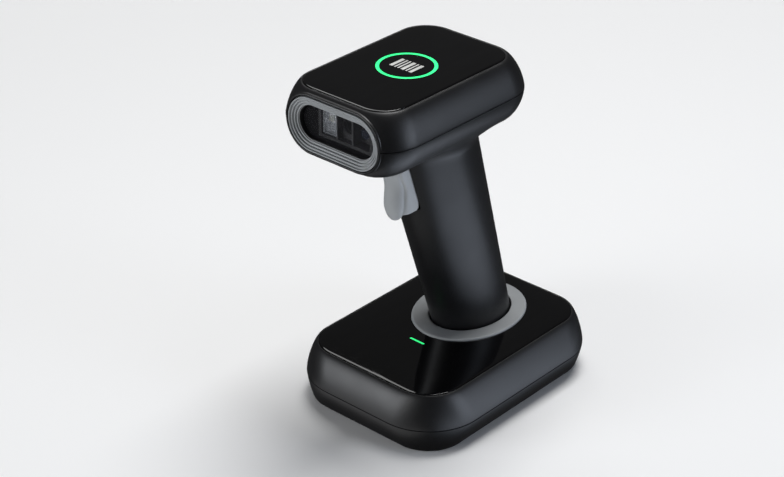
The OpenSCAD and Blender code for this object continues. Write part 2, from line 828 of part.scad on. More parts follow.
module trigger() {
    half = trigger_w / 2;
    skirt = 1.8;
    pad_wall = 1.7;
    color(trim_grey) in_head() difference() {
        union() {
            difference() {
                union() {
                    side_extrusion(pad_w / 2, concat(hollow_face, finger_face, heel, back_edge));
                    side_extrusion(half, concat(skirt_front, back_edge));
                }
                span([skirt - half, half - skirt], [-5, 10], [-48, -17]);
                span([pad_wall - pad_w / 2, pad_w / 2 - pad_wall], [-9.5, 10], [-48, -17]);
            }
            translate(pivot) rotate([0, 90, 0]) cylinder(r = 3.2, h = trigger_w, center = true);
            span([-1.2, 1.2], [-10.5, nub_y], [switch_z - 1, switch_z + 1]);
            translate([0, nub_y, switch_z]) rotate([0, 90, 0]) cylinder(r = nub_r, h = 5, center = true);
            translate([0, -spring_seat_gap, spring_z]) rotate([90, 0, 0]) cylinder(r = spring_seat_r, h = 10);
        }
        translate(pivot) rotate([0, 90, 0]) cylinder(r = pivot_r + bore_gap, h = 40, center = true);
    }
}

module trigger_pin() {
    color(steel) in_head() translate(pivot) rotate([0, 90, 0])
        cylinder(r = pivot_r, h = 2 * cheek_x + 2, center = true);
}

module trigger_bracket() {
    color([0.15, 0.15, 0.16]) in_head() difference() {
        union() {
            span([-19.5, 19.5], [-23, 12.2], [bracket_z, bracket_z + bracket_t]);
            for (x = [-cheek_x, cheek_x]) span([x - 1, x + 1], [-10.3, -2.3], [bracket_z, pivot[2] + 3]);
            span([-7, 7], [9.2, 10.8], [-49, bracket_z + join]);
        }
        span([-7.4, 7.4], [-15.2, 2], [bracket_z - past, bracket_z + 3]);
        translate(pivot) rotate([0, 90, 0]) cylinder(r = pivot_r, h = 40, center = true);
        at_both_sides([bracket_screw_at]) translate([0, 0, bracket_z - past])
            cylinder(r = screw_hole_r, h = bracket_t + 2 * past);
    }
}

module trigger_bracket_screws() {
    color(steel) in_head() at_both_sides([bracket_screw_at])
        translate([0, 0, bracket_z + bracket_t]) rotate([180, 0, 0]) pan_screw(1, bracket_screw_l, 2, 1.2);
}

module switch_board() {
    color(board_green) in_head() span([-7, 7], [7.6, 9.2], [-47, -25]);
}

module trigger_switch() {
    color([0.1, 0.1, 0.1]) in_head() difference() {
        span([-3, 3], [switch_front, 7.6], [switch_z - 3, switch_z + 3]);
        translate([0, 7.2, switch_z]) rotate([90, 0, 0]) cylinder(r = 1.45, h = 5);
    }
}

module switch_plunger() {
    tip = nub_y + nub_r + 0.05;
    color("white") in_head() translate([0, tip + 2.8, switch_z])
        rotate([90, 0, 0]) cylinder(r = 1.4, h = 2.8);
}

module trigger_spring() {
    color(steel) in_head() translate([0, 0, spring_z]) rotate([-90, 0, 0]) coil_spring(2.5, 0.3, 7.6, 5);
}

// ---- Inside and at the foot of the handle ----

module battery() {
    color([0.2, 0.35, 0.6]) in_handle() translate(battery_at) {
        cylinder(r = battery_r, h = battery_l - 0.8);
        cylinder(r = 3, h = battery_l);
    }
}

module battery_holder() {
    color([0.15, 0.15, 0.16]) in_handle() translate(battery_at) difference() {
        union() {
            translate([0, 0, -1.6]) cylinder(r = battery_r + 1.4, h = battery_l + 3.2);
            for (z = [8, battery_l - 10]) translate([0, 0, z]) cylinder(r = 12.2, h = 2);
        }
        cylinder(r = battery_r + 0.1, h = battery_l + 0.1);
        span([-7, 7], [-15, 0], [2, battery_l - 2]);
    }
}

// A slab of the handle's section, shrunk or grown by extra, between two heights along the handle
module grip_slab(extra, z0, z1) {
    translate([0, 0, z0]) linear_extrude(z1 - z0)
        polygon(flat_points(ellipse_ring(grip_a(z0) + extra, grip_b(z0) + extra, 0)));
}

module handle_end_cap() {
    color(shell_black) in_handle() difference() {
        union() {
            grip_slab(0, -well_depth, grip_start);
            intersection() {
                difference() {
                    grip_slab(-wall - fit, grip_start - join, grip_start + 4);
                    grip_slab(-wall - fit - 1.5, grip_start, grip_start + 5);
                }
                span([-30, 30], [-9, 9], [-40, 0]);
            }
            for (y = [-1, 1]) translate([0, y * end_screw_y, grip_start - join])
                cylinder(r = 3, h = 5 + join - 0.1);
        }
        for (x = contact_x) translate([x, 0, -well_depth - past]) cylinder(r = pad_r + 0.02, h = 6);
        for (y = [-1, 1]) translate([0, y * end_screw_y, -well_depth - past]) {
            cylinder(r = 1.3, h = 12);
            cylinder(r = 2.5, h = 1.6 + past);
        }
    }
}

module charging_contacts() {
    color(gold) in_handle() for (x = contact_x) translate([x, 0, pad_recess - well_depth])
        cylinder(r = pad_r, h = cap_t - pad_recess);
}

module charging_board() {
    color(board_green) in_handle() span([-9, 9], [-7, 7], [grip_start, grip_start + 1.2]);
}

module end_cap_screws() {
    color(steel) in_handle() for (y = [-1, 1]) translate([0, y * end_screw_y, -well_depth + 1.6])
        pan_screw(screw_r, 12, 2.2, 1.3);
}

cradle_upper_shell();
cradle_lower_shell();
cradle_top_plate();
socket_ring();
socket_cup();
cradle_light_pipe();
cradle_status_led();
cradle_board();
cradle_board_screws();
usb_c_receptacle();
usb_board();
contact_pin_block();
contact_pins();
contact_pin_springs();
ballast_plate();
rubber_feet();
cradle_screws();
head_upper_shell();
head_top_plate();
status_ring();
status_light_guide();
status_ring_leds();
scanner_housing();
window_bezel();
scan_window();
engine_chassis();
engine_board();
image_sensor();
camera_barrel();
camera_lens();
illumination_lens();
illumination_leds();
aimer_lens();
main_board();
beeper();
radio_module();
trigger_bracket();
trigger_bracket_screws();
trigger();
trigger_pin();
trigger_spring();
trigger_switch();
switch_plunger();
switch_board();
battery();
battery_holder();
handle_end_cap();
charging_contacts();
charging_board();
end_cap_screws();
head_screws();
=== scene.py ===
"""Cordless barcode scanner in its charging cradle: finished surfaces, materials and studio.

Shapes are worked out in millimetres and placed in the CAD frame, with +Z up and the scan window facing -Y.
"""

import json
import math

import bmesh
import bpy
import numpy as np
from mathutils import Matrix, Vector


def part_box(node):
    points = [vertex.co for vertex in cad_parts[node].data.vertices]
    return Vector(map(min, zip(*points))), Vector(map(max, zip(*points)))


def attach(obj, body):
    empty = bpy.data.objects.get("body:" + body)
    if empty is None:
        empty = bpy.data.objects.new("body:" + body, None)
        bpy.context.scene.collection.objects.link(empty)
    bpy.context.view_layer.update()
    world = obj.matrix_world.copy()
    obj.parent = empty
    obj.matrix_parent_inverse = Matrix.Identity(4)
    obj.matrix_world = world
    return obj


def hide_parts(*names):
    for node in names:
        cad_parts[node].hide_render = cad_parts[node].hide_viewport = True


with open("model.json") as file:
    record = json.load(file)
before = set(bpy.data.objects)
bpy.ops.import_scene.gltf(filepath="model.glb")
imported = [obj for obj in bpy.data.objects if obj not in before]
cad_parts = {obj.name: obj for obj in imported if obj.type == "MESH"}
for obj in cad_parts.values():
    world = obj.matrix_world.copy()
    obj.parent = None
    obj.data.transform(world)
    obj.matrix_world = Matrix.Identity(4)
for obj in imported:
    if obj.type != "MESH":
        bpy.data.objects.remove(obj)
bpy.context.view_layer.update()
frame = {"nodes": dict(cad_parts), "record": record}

MM = 0.001
TAU = 2 * math.pi


# ---------------------------------------------------------------- measures from the frame


def box_mm(node):
    low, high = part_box(node)
    return np.array(low) / MM, np.array(high) / MM


def middle_y(node):
    low, high = box_mm(node)
    return (low[1] + high[1]) / 2


CRADLE_Y = middle_y("cradle_upper_shell")
CRADLE_SPLIT = box_mm("cradle_lower_shell")[1][2]
CRADLE_RIM = box_mm("cradle_upper_shell")[1][2]
DECK_TOP = box_mm("cradle_top_plate")[1][2]
PLATE_T = DECK_TOP - box_mm("cradle_top_plate")[0][2]
HEAD_Y = middle_y("status_ring")
HEAD_Z = box_mm("head_upper_shell")[0][2]
HEAD_UP = box_mm("head_top_plate")[1][2] - HEAD_Z
PLATE_PROUD = DECK_TOP - CRADLE_RIM

LEAN = math.radians(17.1)
WALL = 2.2
WELL_GAP = 0.7
WELL_DEPTH = 14
CAP_T = 3
CONTACT_X = (-6, -2, 2, 6)
CAP_SCREW_Y = (-14, 14)
MOUTH = np.array([0, CRADLE_Y + 16.9, DECK_TOP])
HEAD = np.array([0, HEAD_Y, HEAD_Z])

# Rounded rectangles as (half width, half length, corner radius, y of the middle)
CRADLE_WIDE = np.array([46, 61.3, 27.5, 0])
CRADLE_BASE = np.array([40.8, 56.9, 18, 0])
DECK = np.array([38.3, 53.9, 16, 0])
HEAD_WIDE = np.array([33.6, 50.15, 20, 0])
HEAD_BASE = np.array([21.8, 41.1, 8.5, 0])
VISOR = np.array([26.15, 41.35, 12.1, -0.9])
RIM_W = 0.75
HEAD_DOWN = 15.5
NOSE = -45.4
NOSE_EDGE = 0.7
BEZEL_HALF = (25.0, 12.15)
# Half the gap between two shells at a parting line, the round of each shell there, and the gap round a plate
SPLIT_GAP, SPLIT_EDGE, PLATE_GAP = 0.13, 0.25, 0.16
# Powers of the rounded sides: 2 would be a quarter of an ellipse and 1 a straight slope
HEAD_LOW_N, HEAD_UP_N, CRADLE_UP_N, CRADLE_LOW_N = 1.74, 1.44, 1.36, 1.2


def grown(outline, by):
    return outline + np.array([by, by, by, 0])


# ---------------------------------------------------------------- mesh helpers


def new_object(name, vertices, faces, smooth_angle=35):
    mesh = bpy.data.meshes.new(name)
    mesh.from_pydata([tuple(v) for v in np.asarray(vertices) * MM], [], faces)
    mesh.validate()
    obj = bpy.data.objects.new(name, mesh)
    bpy.context.collection.objects.link(obj)
    shade(obj, smooth_angle)
    return obj


def shade(obj, angle=35):
    obj.data.shade_smooth()
    obj.data.set_sharp_from_angle(angle=math.radians(angle))


def ring_faces(count, size, closed):
    """Quads between rings of one size; closed joins the last ring to the first."""
    faces = []
    for k in range(count if closed else count - 1):
        a, b = k * size, ((k + 1) % count) * size
        for i in range(size):
            j = (i + 1) % size
            faces.append((a + i, a + j, b + j, b + i))
    return faces


def loft(name, rings, closed=False, smooth_angle=35):
    """Joins rings into a solid, with flat ends unless it closes on itself."""
    rings = [np.asarray(r, float) for r in rings]
    size = len(rings[0])
    faces = ring_faces(len(rings), size, closed)
    if not closed:
        last = (len(rings) - 1) * size
        faces.append(tuple(reversed(range(size))))
        faces.append(tuple(range(last, last + size)))
    obj = new_object(name, np.concatenate(rings), faces, smooth_angle)
    face_outwards(obj)
    return obj


def face_outwards(obj):
    bm = bmesh.new()
    bm.from_mesh(obj.data)
    bmesh.ops.recalc_face_normals(bm, faces=bm.faces)
    bm.to_mesh(obj.data)
    bm.free()


def move(obj, offset):
    obj.data.transform(Matrix.Translation(Vector(np.asarray(offset) * MM)))
    return obj


def boolean(obj, cutters, operation="DIFFERENCE", angle=35):
    for cutter in cutters:
        mod = obj.modifiers.new("cut", "BOOLEAN")
        mod.object, mod.operation, mod.solver = cutter, operation, "EXACT"
    apply_modifiers(obj)
    for cutter in cutters:
        bpy.data.objects.remove(cutter)
    shade(obj, angle)
    return obj


def join(target, others):
    bm = bmesh.new()
    for o in [target, *others]:
        bm.from_mesh(o.data)
    bm.to_mesh(target.data)
    bm.free()
    for o in others:
        bpy.data.objects.remove(o)
    shade(target)
    return target


def cut_plane(obj, point, normal, keep_above=True):
    """Keeps the part of a closed mesh on one side of a plane, and closes the cut."""
    bm = bmesh.new()
    bm.from_mesh(obj.data)
    geom = bm.verts[:] + bm.edges[:] + bm.faces[:]
    cut = bmesh.ops.bisect_plane(
        bm, geom=geom, plane_co=Vector(np.asarray(point) * MM), plane_no=normal,
        clear_inner=keep_above, clear_outer=not keep_above,
    )
    edges = [e for e in cut["geom_cut"] if isinstance(e, bmesh.types.BMEdge)]
    bmesh.ops.holes_fill(bm, edges=edges)
    bmesh.ops.recalc_face_normals(bm, faces=bm.faces)
    bm.to_mesh(obj.data)
    bm.free()
    shade(obj)
    return obj


def apply_modifiers(obj):
    depsgraph = bpy.context.evaluated_depsgraph_get()
    result = bpy.data.meshes.new_from_object(obj.evaluated_get(depsgraph))
    obj.modifiers.clear()
    old, obj.data = obj.data, result
    result.name = obj.name
    bpy.data.meshes.remove(old)


def soft_remesh(obj, size_mm, smoothing):
    """Rebuilds a joined shape as even quads and relaxes them, so that its creases turn soft."""
    remesh = obj.modifiers.new("remesh", "REMESH")
    remesh.mode = "VOXEL"
    remesh.voxel_size = size_mm * MM
    relax = obj.modifiers.new("relax", "SMOOTH")
    relax.factor, relax.iterations = 0.5, smoothing
    apply_modifiers(obj)
    shade(obj, 80)
    return obj


def outline_2d(o, corner=24, across=10, along=16):
    """Points of a rounded rectangle, anticlockwise from the +X end of its corner arc."""
    a, b, r, y = o
    points = []
    centres = [(sx * (a - r), y + sy * (b - r)) for sx, sy in ((1, 1), (-1, 1), (-1, -1), (1, -1))]
    for k in range(4):
        cx, cy = centres[k]
        for i in range(corner + 1):
            t = math.pi / 2 * (k + i / corner)
            points.append((cx + r * math.cos(t), cy + r * math.sin(t)))
        nx, ny = centres[(k + 1) % 4]
        t = math.pi / 2 * (k + 1)
        ex, ey = nx + r * math.cos(t), ny + r * math.sin(t)
        sx, sy = points[-1]
        steps = across if k % 2 == 0 else along
        for i in range(1, steps):
            f = i / steps
            points.append((sx + (ex - sx) * f, sy + (ey - sy) * f))
    return np.array(points)


def at_height(points, z):
    points = np.asarray(points, float)
    return np.column_stack([points, np.full(len(points), float(z))])


def pillow(wide, tip, z0, z1, n, levels=26, skip=0.0):
    """Rings along a rounded side from the wide outline at z0 to the tip outline at z1."""
    rings = []
    for k in range(levels + 1):
        q = math.pi / 2 * (skip + (1 - skip) * k / levels)
        s, t = max(math.cos(q), 0) ** (2 / n), math.sin(q) ** (2 / n)
        rings.append(at_height(outline_2d(tip + (wide - tip) * s), z0 + (z1 - z0) * t))
    return rings


def side_start(height, n):
    """The share of a rounded side to skip, to leave room for the edge at its parting line."""
    return 2 / math.pi * math.asin(((SPLIT_GAP + SPLIT_EDGE) / height) ** (n / 2))


def parting_edge(outline, z, up):
    """Rings of a shell's small round at the parting line; up is 1 for an upper shell, -1 for a lower one."""
    rings = []
    for t in np.radians([90, 60, 30]):
        inset = SPLIT_EDGE * (1 - math.cos(t))
        height = z + up * (SPLIT_GAP + SPLIT_EDGE * (1 - math.sin(t)))
        rings.append(at_height(outline_2d(grown(outline, -inset)), height))
    return rings


def groove_side(outline, rim_z):
    """Rings from a shell's rim down into the groove round its glossy plate."""
    return [at_height(outline_2d(grown(outline, PLATE_GAP + d)), rim_z - z)
            for d, z in ((0.45, 0.01), (0.2, 0.05), (0.06, 0.14), (0, 0.3))]


def stadium_2d(half_w, half_h, arc=32, straight=14):
    """Points of a bar with round ends in X and Z, anticlockwise seen from -Y."""
    flat = half_w - half_h
    points = []
    for side in (1, -1):
        for i in range(arc + 1):
            t = -math.pi / 2 + math.pi * i / arc
            points.append((side * (flat + half_h * math.cos(t)), side * half_h * math.sin(t)))
        for i in range(1, straight):
            points.append((side * flat * (1 - 2 * i / straight), side * half_h))
    return np.array(points)


def stadium_ring(half_w, half_h, y):
    p = stadium_2d(half_w, half_h)
    return np.column_stack([p[:, 0], np.full(len(p), float(y)), p[:, 1]])


def cylinder(name, radius, start, end, sides=48):
    """A closed round bar between two points."""
    start, end = np.asarray(start, float), np.asarray(end, float)
    axis = (end - start) / np.linalg.norm(end - start)
    side = np.cross(axis, [0, 0, 1] if abs(axis[2]) < 0.9 else [1, 0, 0])
    side /= np.linalg.norm(side)
    other = np.cross(axis, side)
    t = np.linspace(0, TAU, sides, endpoint=False)[:, None]
    circle = radius * (np.cos(t) * side + np.sin(t) * other)
    return loft(name, [start + circle, end + circle])


def cuboid(name, low, high):
    x0, y0, z0 = low
    x1, y1, z1 = high
    return loft(name, [[(x0, y0, z), (x1, y0, z), (x1, y1, z), (x0, y1, z)] for z in (z0, z1)])


# ---------------------------------------------------------------- handle


def grip_a(w):
    """Half the handle's width, w along its axis from the mouth of the socket."""
    return (32 + 0.0602 * w) / 2


def grip_b(w):
    """Half the handle's length from front to back."""
    return (40.5 + 0.0474 * w) / 2


def handle_ring(w, extra=0.0, tilt=1.0, count=192, section=None):
    """A ring round the handle's axis at w; tilt 1 is square to the axis and 0 is level.

    It takes the handle's section at w, or at another place along the axis if one is given.
    """
    t = np.linspace(0, TAU, count, endpoint=False)
    at = w if section is None else section
    a, b = grip_a(at) + extra, grip_b(at) + extra
    across = b * np.sin(t)
    y = across * (tilt * math.cos(LEAN) + (1 - tilt) / math.cos(LEAN)) - w * math.sin(LEAN)
    z = across * tilt * math.sin(LEAN) + w * math.cos(LEAN)
    return np.column_stack([a * np.cos(t), y, z]) + MOUTH


def in_handle(points):
    """Points from the handle's own frame into the CAD frame."""
    p = np.asarray(points, float)
    c, s = math.cos(LEAN), math.sin(LEAN)
    return np.stack([p[..., 0], p[..., 1] * c - p[..., 2] * s, p[..., 1] * s + p[..., 2] * c], -1) + MOUTH


# ---------------------------------------------------------------- housing surface as a distance field


def outline_distance(x, y, o):
    """Signed distance from points to rounded rectangles, one for each point."""
    a, b, r, middle = o
    dx, dy = np.abs(x) - (a - r), np.abs(y - middle) - (b - r)
    outside = np.hypot(np.maximum(dx, 0), np.maximum(dy, 0))
    return outside + np.minimum(np.maximum(dx, dy), 0) - r


def outline_share(x, y, wide, tip):
    """How far each point lies from the tip outline (0) to the wide outline (1) and beyond."""
    low, high = np.full(x.shape, -0.9), np.full(x.shape, 3.0)
    for _ in range(26):
        mid = (low + high) / 2
        o = [t + (w - t) * mid for w, t in zip(wide, tip)]
        outside = outline_distance(x, y, o) > 0
        low, high = np.where(outside, mid, low), np.where(outside, high, mid)
    return (low + high) / 2


def pillow_field(p):
    s = np.maximum(outline_share(p[:, 0], p[:, 1], HEAD_WIDE, HEAD_BASE), 0)
    t = np.maximum(-p[:, 2] / HEAD_DOWN, 0)
    return (s**HEAD_LOW_N + t**HEAD_LOW_N) ** (1 / HEAD_LOW_N) - 1


def handle_field(p):
    q = p + HEAD - MOUTH
    w = q[:, 2] / math.cos(LEAN)
    a, b = grip_a(w), grip_b(w) / math.cos(LEAN)
    return np.hypot(q[:, 0] / a, (q[:, 1] + q[:, 2] * math.tan(LEAN)) / b) - 1


def gradient(field, p, step=0.02):
    columns = []
    for k in range(3):
        d = np.zeros(3)
        d[k] = step
        columns.append((field(p + d) - field(p - d)) / (2 * step))
    return np.stack(columns, 1)


def as_distance(field, p):
    g = np.linalg.norm(gradient(field, p), axis=1)
    return field(p) / np.maximum(g, 1e-4)


def round_union(a, b, r):
    return np.maximum(r, np.minimum(a, b)) - np.hypot(np.maximum(r - a, 0), np.maximum(r - b, 0))


def round_intersection(a, b, r):
    return np.minimum(-r, np.maximum(a, b)) + np.hypot(np.maximum(r + a, 0), np.maximum(r + b, 0))


FILLET = 11


def housing_field(p):
    body = round_union(as_distance(pillow_field, p), as_distance(handle_field, p), FILLET)
    return round_intersection(body, NOSE - p[:, 1], NOSE_EDGE)


def settle(field, p, rounds=7, most=3.0):
    """Moves points onto the field's surface along its slope."""
    for _ in range(rounds):
        g = gradient(field, p)
        f = field(p) / np.maximum((g**2).sum(1), 1e-3)
        step = f[:, None] * g
        size = np.linalg.norm(step, axis=1, keepdims=True)
        p = p - step * np.minimum(1, most / np.maximum(size, 1e-9))
    return p


def ray_to_outline(centre, angles, o):
    """Where rays from a point in plan meet a rounded rectangle."""
    low, high = np.zeros(len(angles)), np.full(len(angles), 120.0)
    c, s = np.cos(angles), np.sin(angles)
    for _ in range(40):
        mid = (low + high) / 2
        outside = outline_distance(centre[0] + mid * c, centre[1] + mid * s, o) > 0
        low, high = np.where(outside, low, mid), np.where(outside, mid, high)
    return np.column_stack([centre[0] + low * c, centre[1] + low * s])


def grid_normals(grid):
    """Normals of a grid of rings, from its neighbours along and across."""
    along = np.gradient(grid, axis=0)
    across = np.roll(grid, -1, axis=1) - np.roll(grid, 1, axis=1)
    n = np.cross(across, along)
    return n / np.maximum(np.linalg.norm(n, axis=2, keepdims=True), 1e-9)


def housing_grid():
    """Rings from the handle's foot to the parting line under the head, in the head's frame."""
    count = 320
    straight = 98
    top_w = straight / math.cos(LEAN)
    foot_w = CAP_T - WELL_DEPTH + 0.06
    top_centre = (MOUTH - HEAD)[1] - straight * math.tan(LEAN)
    under_w = (HEAD_Z - HEAD_DOWN - DECK_TOP) / math.cos(LEAN)
    fillet_start = handle_ring(top_w, tilt=0, count=count) - HEAD
    angles = np.arctan2(fillet_start[:, 1] - top_centre, fillet_start[:, 0])
    fillet_corner = handle_ring(under_w, tilt=0, count=count) - HEAD
    rings = []
    for f in np.linspace(0, 1, 46):
        w = foot_w + (top_w - foot_w) * f
        rings.append(handle_ring(w, tilt=max(0, 1 - f * 2.2), count=count) - HEAD)
    centre = (0, top_centre)

    def head_ring(q):
        s, t = max(math.cos(q), 0) ** (2 / HEAD_LOW_N), math.sin(q) ** (2 / HEAD_LOW_N)
        flat = ray_to_outline(centre, angles, HEAD_BASE + (HEAD_WIDE - HEAD_BASE) * s)
        return at_height(flat, -HEAD_DOWN * t)

    first_q = math.radians(80)
    landing = head_ring(first_q)
    for u in np.linspace(0, 1, 34)[1:-1]:
        u = 1 - (1 - u) ** 0.85
        rings.append((1 - u) ** 2 * fillet_start + 2 * u * (1 - u) * fillet_corner + u**2 * landing)
    last_q = math.pi / 2 * side_start(HEAD_DOWN, HEAD_LOW_N)
    for q in np.linspace(first_q, last_q, 30):
        rings.append(head_ring(q))
    grid = np.array(rings)
    settled = settle(housing_field, grid.reshape(-1, 3)).reshape(grid.shape)
    # The foot keeps its own square ring
    settled[0] = grid[0]
    return settled


def shell_from_grid(name, grid):
    """A closed wall from an outer grid: rounded lip at the parting line, offset inside, open foot."""
    normals = grid_normals(grid)
    last = grid[-1]
    flat = normals[-1] * [1, 1, 0]
    flat /= np.linalg.norm(flat, axis=1, keepdims=True)
    lip = []
    for t in np.radians([22.5, 45, 67.5, 90]):
        ring = last - flat * SPLIT_EDGE * (1 - math.cos(t))
        ring[:, 2] = -SPLIT_GAP - SPLIT_EDGE * (1 - math.sin(t))
        lip.append(ring)
    inner = grid - normals * WALL
    inner[-1] = last - flat * WALL
    inner[-1][:, 2] = -SPLIT_GAP
    return loft(name, [*grid, *lip, *inner[::-1]], closed=True)


def window_frame(name, profile, front, smooth_angle=35):
    """A closed frame round the window; each step of the profile is an inset and a depth behind the front."""
    rings = [stadium_ring(BEZEL_HALF[0] - e, BEZEL_HALF[1] - e, front + d) for e, d in profile]
    return loft(name, rings, closed=True, smooth_angle=smooth_angle)


def bezel_rim(name, upper):
    """Half of the raised lip that the shells form round the bezel."""
    profile = [
        (-0.3, 3.0), (-0.3, 0.1), (-0.33, -0.06), (-0.42, -0.2), (-0.56, -0.28), (-0.75, -0.3),
        (-1.05, -0.28), (-1.25, -0.2), (-1.42, -0.04), (-1.54, 0.2), (-1.6, 0.5), (-1.6, 3.0),
    ]
    rim = window_frame(name, profile, NOSE)
    gap = SPLIT_GAP if upper else -SPLIT_GAP
    cut_plane(rim, (0, 0, gap), (0, 0, 1), keep_above=upper)
    return rim


def stadium_bar(name, half_w, half_h, y0, y1):
    return loft(name, [stadium_ring(half_w, half_h, y0), stadium_ring(half_w, half_h, y1)])


def nose_hole():
    """The opening for the bezel, cut through both halves of the head."""
    room = 0.5
    return stadium_bar("hole", BEZEL_HALF[0] + room, BEZEL_HALF[1] + room, NOSE - 5, NOSE + 6)


def trigger_slot():
    """The slot for the trigger in the front of the handle, its lower corners round."""
    half_w, top, bottom, corner = 7.05, -12.4, -51.75, 1.6
    profile = [(-half_w, top), (half_w, top)]
    for side, start in ((1, 0), (-1, -90)):
        for t in np.radians(np.linspace(start, start - 90, 9)):
            x = side * (half_w - corner) + corner * math.cos(t)
            profile.append((x, bottom + corner + corner * math.sin(t)))
    return loft("slot", [[(x, y, z) for x, z in profile] for y in (-14.8, 6.0)])


def make_housing():
    housing = shell_from_grid("scanner_housing_shell", housing_grid())
    boolean(housing, [trigger_slot(), nose_hole()])
    join(housing, [bezel_rim("rim_low", False)])
    return move(housing, HEAD)


# ---------------------------------------------------------------- upper head shell and bezel


def make_head_shell():
    roof = HEAD_UP - PLATE_T - 2
    rim_z = HEAD_UP - PLATE_PROUD
    outer = pillow(
        HEAD_WIDE, grown(VISOR, RIM_W), 0, rim_z, HEAD_UP_N, levels=34, skip=side_start(rim_z, HEAD_UP_N),
    )
    shelf = [
        at_height(outline_2d(grown(VISOR, by)), z) for by, z in
        ((PLATE_GAP, HEAD_UP - PLATE_T), (-9, HEAD_UP - PLATE_T), (-9, roof))
    ]
    inner = pillow(grown(HEAD_WIDE, -WALL), grown(VISOR, 1.1), 0, roof, HEAD_UP_N, levels=12)[::-1]
    inner[-1][:, 2] = SPLIT_GAP
    rings = [*parting_edge(HEAD_WIDE, 0, 1), *outer, *groove_side(VISOR, rim_z), *shelf, *inner]
    for ring in rings:
        front_clamp(ring, NOSE)
    for ring in inner + shelf[2:]:
        front_clamp(ring, NOSE + WALL)
    shell = loft("head_shell", rings, closed=True)
    boolean(shell, [nose_hole()])
    join(shell, [bezel_rim("rim_up", True)])
    return move(shell, HEAD)


def front_clamp(ring, limit):
    """Flattens a ring's front onto a plane, with a soft turn at its edges."""
    depth = limit - ring[:, 1]
    soft = NOSE_EDGE * 0.9
    near = np.clip((depth + soft) / (2 * soft), 0, 1)
    ring[:, 1] = np.where(depth > soft, limit, ring[:, 1] + near * near * soft)


BEAD_PITCH, BEAD_DROP, BEAD_R = 1.12, 0.58, 0.33
BEZEL_FRONT = NOSE - 0.4
FUNNEL = 4.5


def make_bezel():
    """Four round beads, each smaller and deeper than the one outside it, with dark grooves between them."""
    profile = [(0.0, 4.2), (0.0, 0.7)]
    for k in range(4):
        e, d = k * BEAD_PITCH + 0.38, k * BEAD_DROP
        for t in np.radians([-88, -60, -30, 0, 30, 60, 88]):
            profile.append((e + BEAD_R * math.sin(t), d + BEAD_R * (1 - math.cos(t))))
        if k < 3:
            profile += [(e + 0.35, d + 0.95), (e + 0.72, d + 0.98)]
    profile += [(4.1, 2.3), (4.3, 2.4), (4.3, 2.6), (3.7, 2.65), (3.7, 4.2)]
    return move(window_frame("bezel", profile, BEZEL_FRONT, 50), HEAD)


def make_shade_collar():
    """A black collar from the bezel's innermost bead back to the window. It is painted shade: its black
    stands in for the shade deep inside the opening.
    """
    profile = [(3.8, 2.75), (4.4, 2.75), (FUNNEL, 2.85), (FUNNEL, 4.2), (3.8, 4.2)]
    return move(window_frame("painted_shade_collar", profile, BEZEL_FRONT), HEAD)


def relief_block(name, low, high, relief, steps=(48, 52)):
    """A block whose front, facing -Y, is set back by relief(x, z)."""
    xs, zs = np.linspace(low[0], high[0], steps[0]), np.linspace(low[2], high[2], steps[1])
    front = [[(x, low[1] + relief(x, z), z) for x in xs] for z in zs]
    vertices = [p for row in front for p in row]
    n, m = steps
    faces = [
        (k * n + i, k * n + i + 1, (k + 1) * n + i + 1, (k + 1) * n + i)
        for k in range(m - 1) for i in range(n - 1)
    ]
    border = [
        *range(n), *[k * n + n - 1 for k in range(1, m)],
        *[(m - 1) * n + i for i in range(n - 2, -1, -1)], *[k * n for k in range(m - 2, 0, -1)],
    ]
    start = len(vertices)
    vertices += [(vertices[i][0], high[1], vertices[i][2]) for i in border]
    count = len(border)
    for j in range(count):
        k = (j + 1) % count
        faces.append((border[k], border[j], start + j, start + k))
    faces.append(tuple(range(start, start + count)))
    block = new_object(name, vertices, faces, 30)
    face_outwards(block)
    return block


def make_lamp_lens():
    """The clear block over the lamps: a stepped frame, two domes and fine ribs that spread the light."""
    low, high = box_mm("illumination_lens")
    middle = (low + high) / 2
    half = (high - low) / 2
    lamp_low, lamp_high = box_mm("illumination_leds")
    lamps = (lamp_low[0] + 1.5, lamp_high[0] - 1.5)
    frame_w, chamfer, recess = 0.7, 0.25, 0.9
    dome_r, dome_h = 1.9, 0.85
    rib_pitch, rib_h = 1.1, 0.16

    def relief(x, z):
        edge = min(half[0] - abs(x - middle[0]), half[2] - abs(z - middle[2]))
        if edge < frame_w:
            return max(0.0, chamfer - edge)
        for lamp in lamps:
            r = math.hypot(x - lamp, z - middle[2])
            if r < dome_r:
                return recess - dome_h * math.sqrt(1 - (r / dome_r) ** 2)
        return recess - rib_h * (1 + math.cos(TAU * (z - middle[2]) / rib_pitch))

    return relief_block("lamp_lens", low, high, relief)


# ---------------------------------------------------------------- plates, ring, icon


def crowned_plate(name, outline, bottom, top, chamfer=0.32, crown=0.3, reach=10.0):
    """A plate with a chamfered edge and a top that falls away slightly near its edges."""
    rings = [
        at_height(outline_2d(grown(outline, -0.1)), bottom),
        at_height(outline_2d(outline), bottom + 0.1),
    ]
    edge = top - crown
    for d, z in (
        (0, -chamfer - 0.05), (0.03, -chamfer + 0.02), (chamfer - 0.02, -0.05), (chamfer + 0.08, -0.01),
    ):
        rings.append(at_height(outline_2d(grown(outline, -d)), edge + z))
    for k in range(1, 15):
        inset = chamfer + 0.1 + (reach - chamfer) * k / 14
        fall = (1 - (inset - chamfer) / (reach + 0.1)) ** 2
        rings.append(at_height(outline_2d(grown(outline, -inset)), top - crown * fall))
    return loft(name, rings)


def ellipse_bar(name, a, b, y, z0, z1):
    t = np.linspace(0, TAU, 160, endpoint=False)
    flat = np.column_stack([a * np.cos(t), y + b * np.sin(t)])
    return loft(name, [at_height(flat, z0), at_height(flat, z1)])


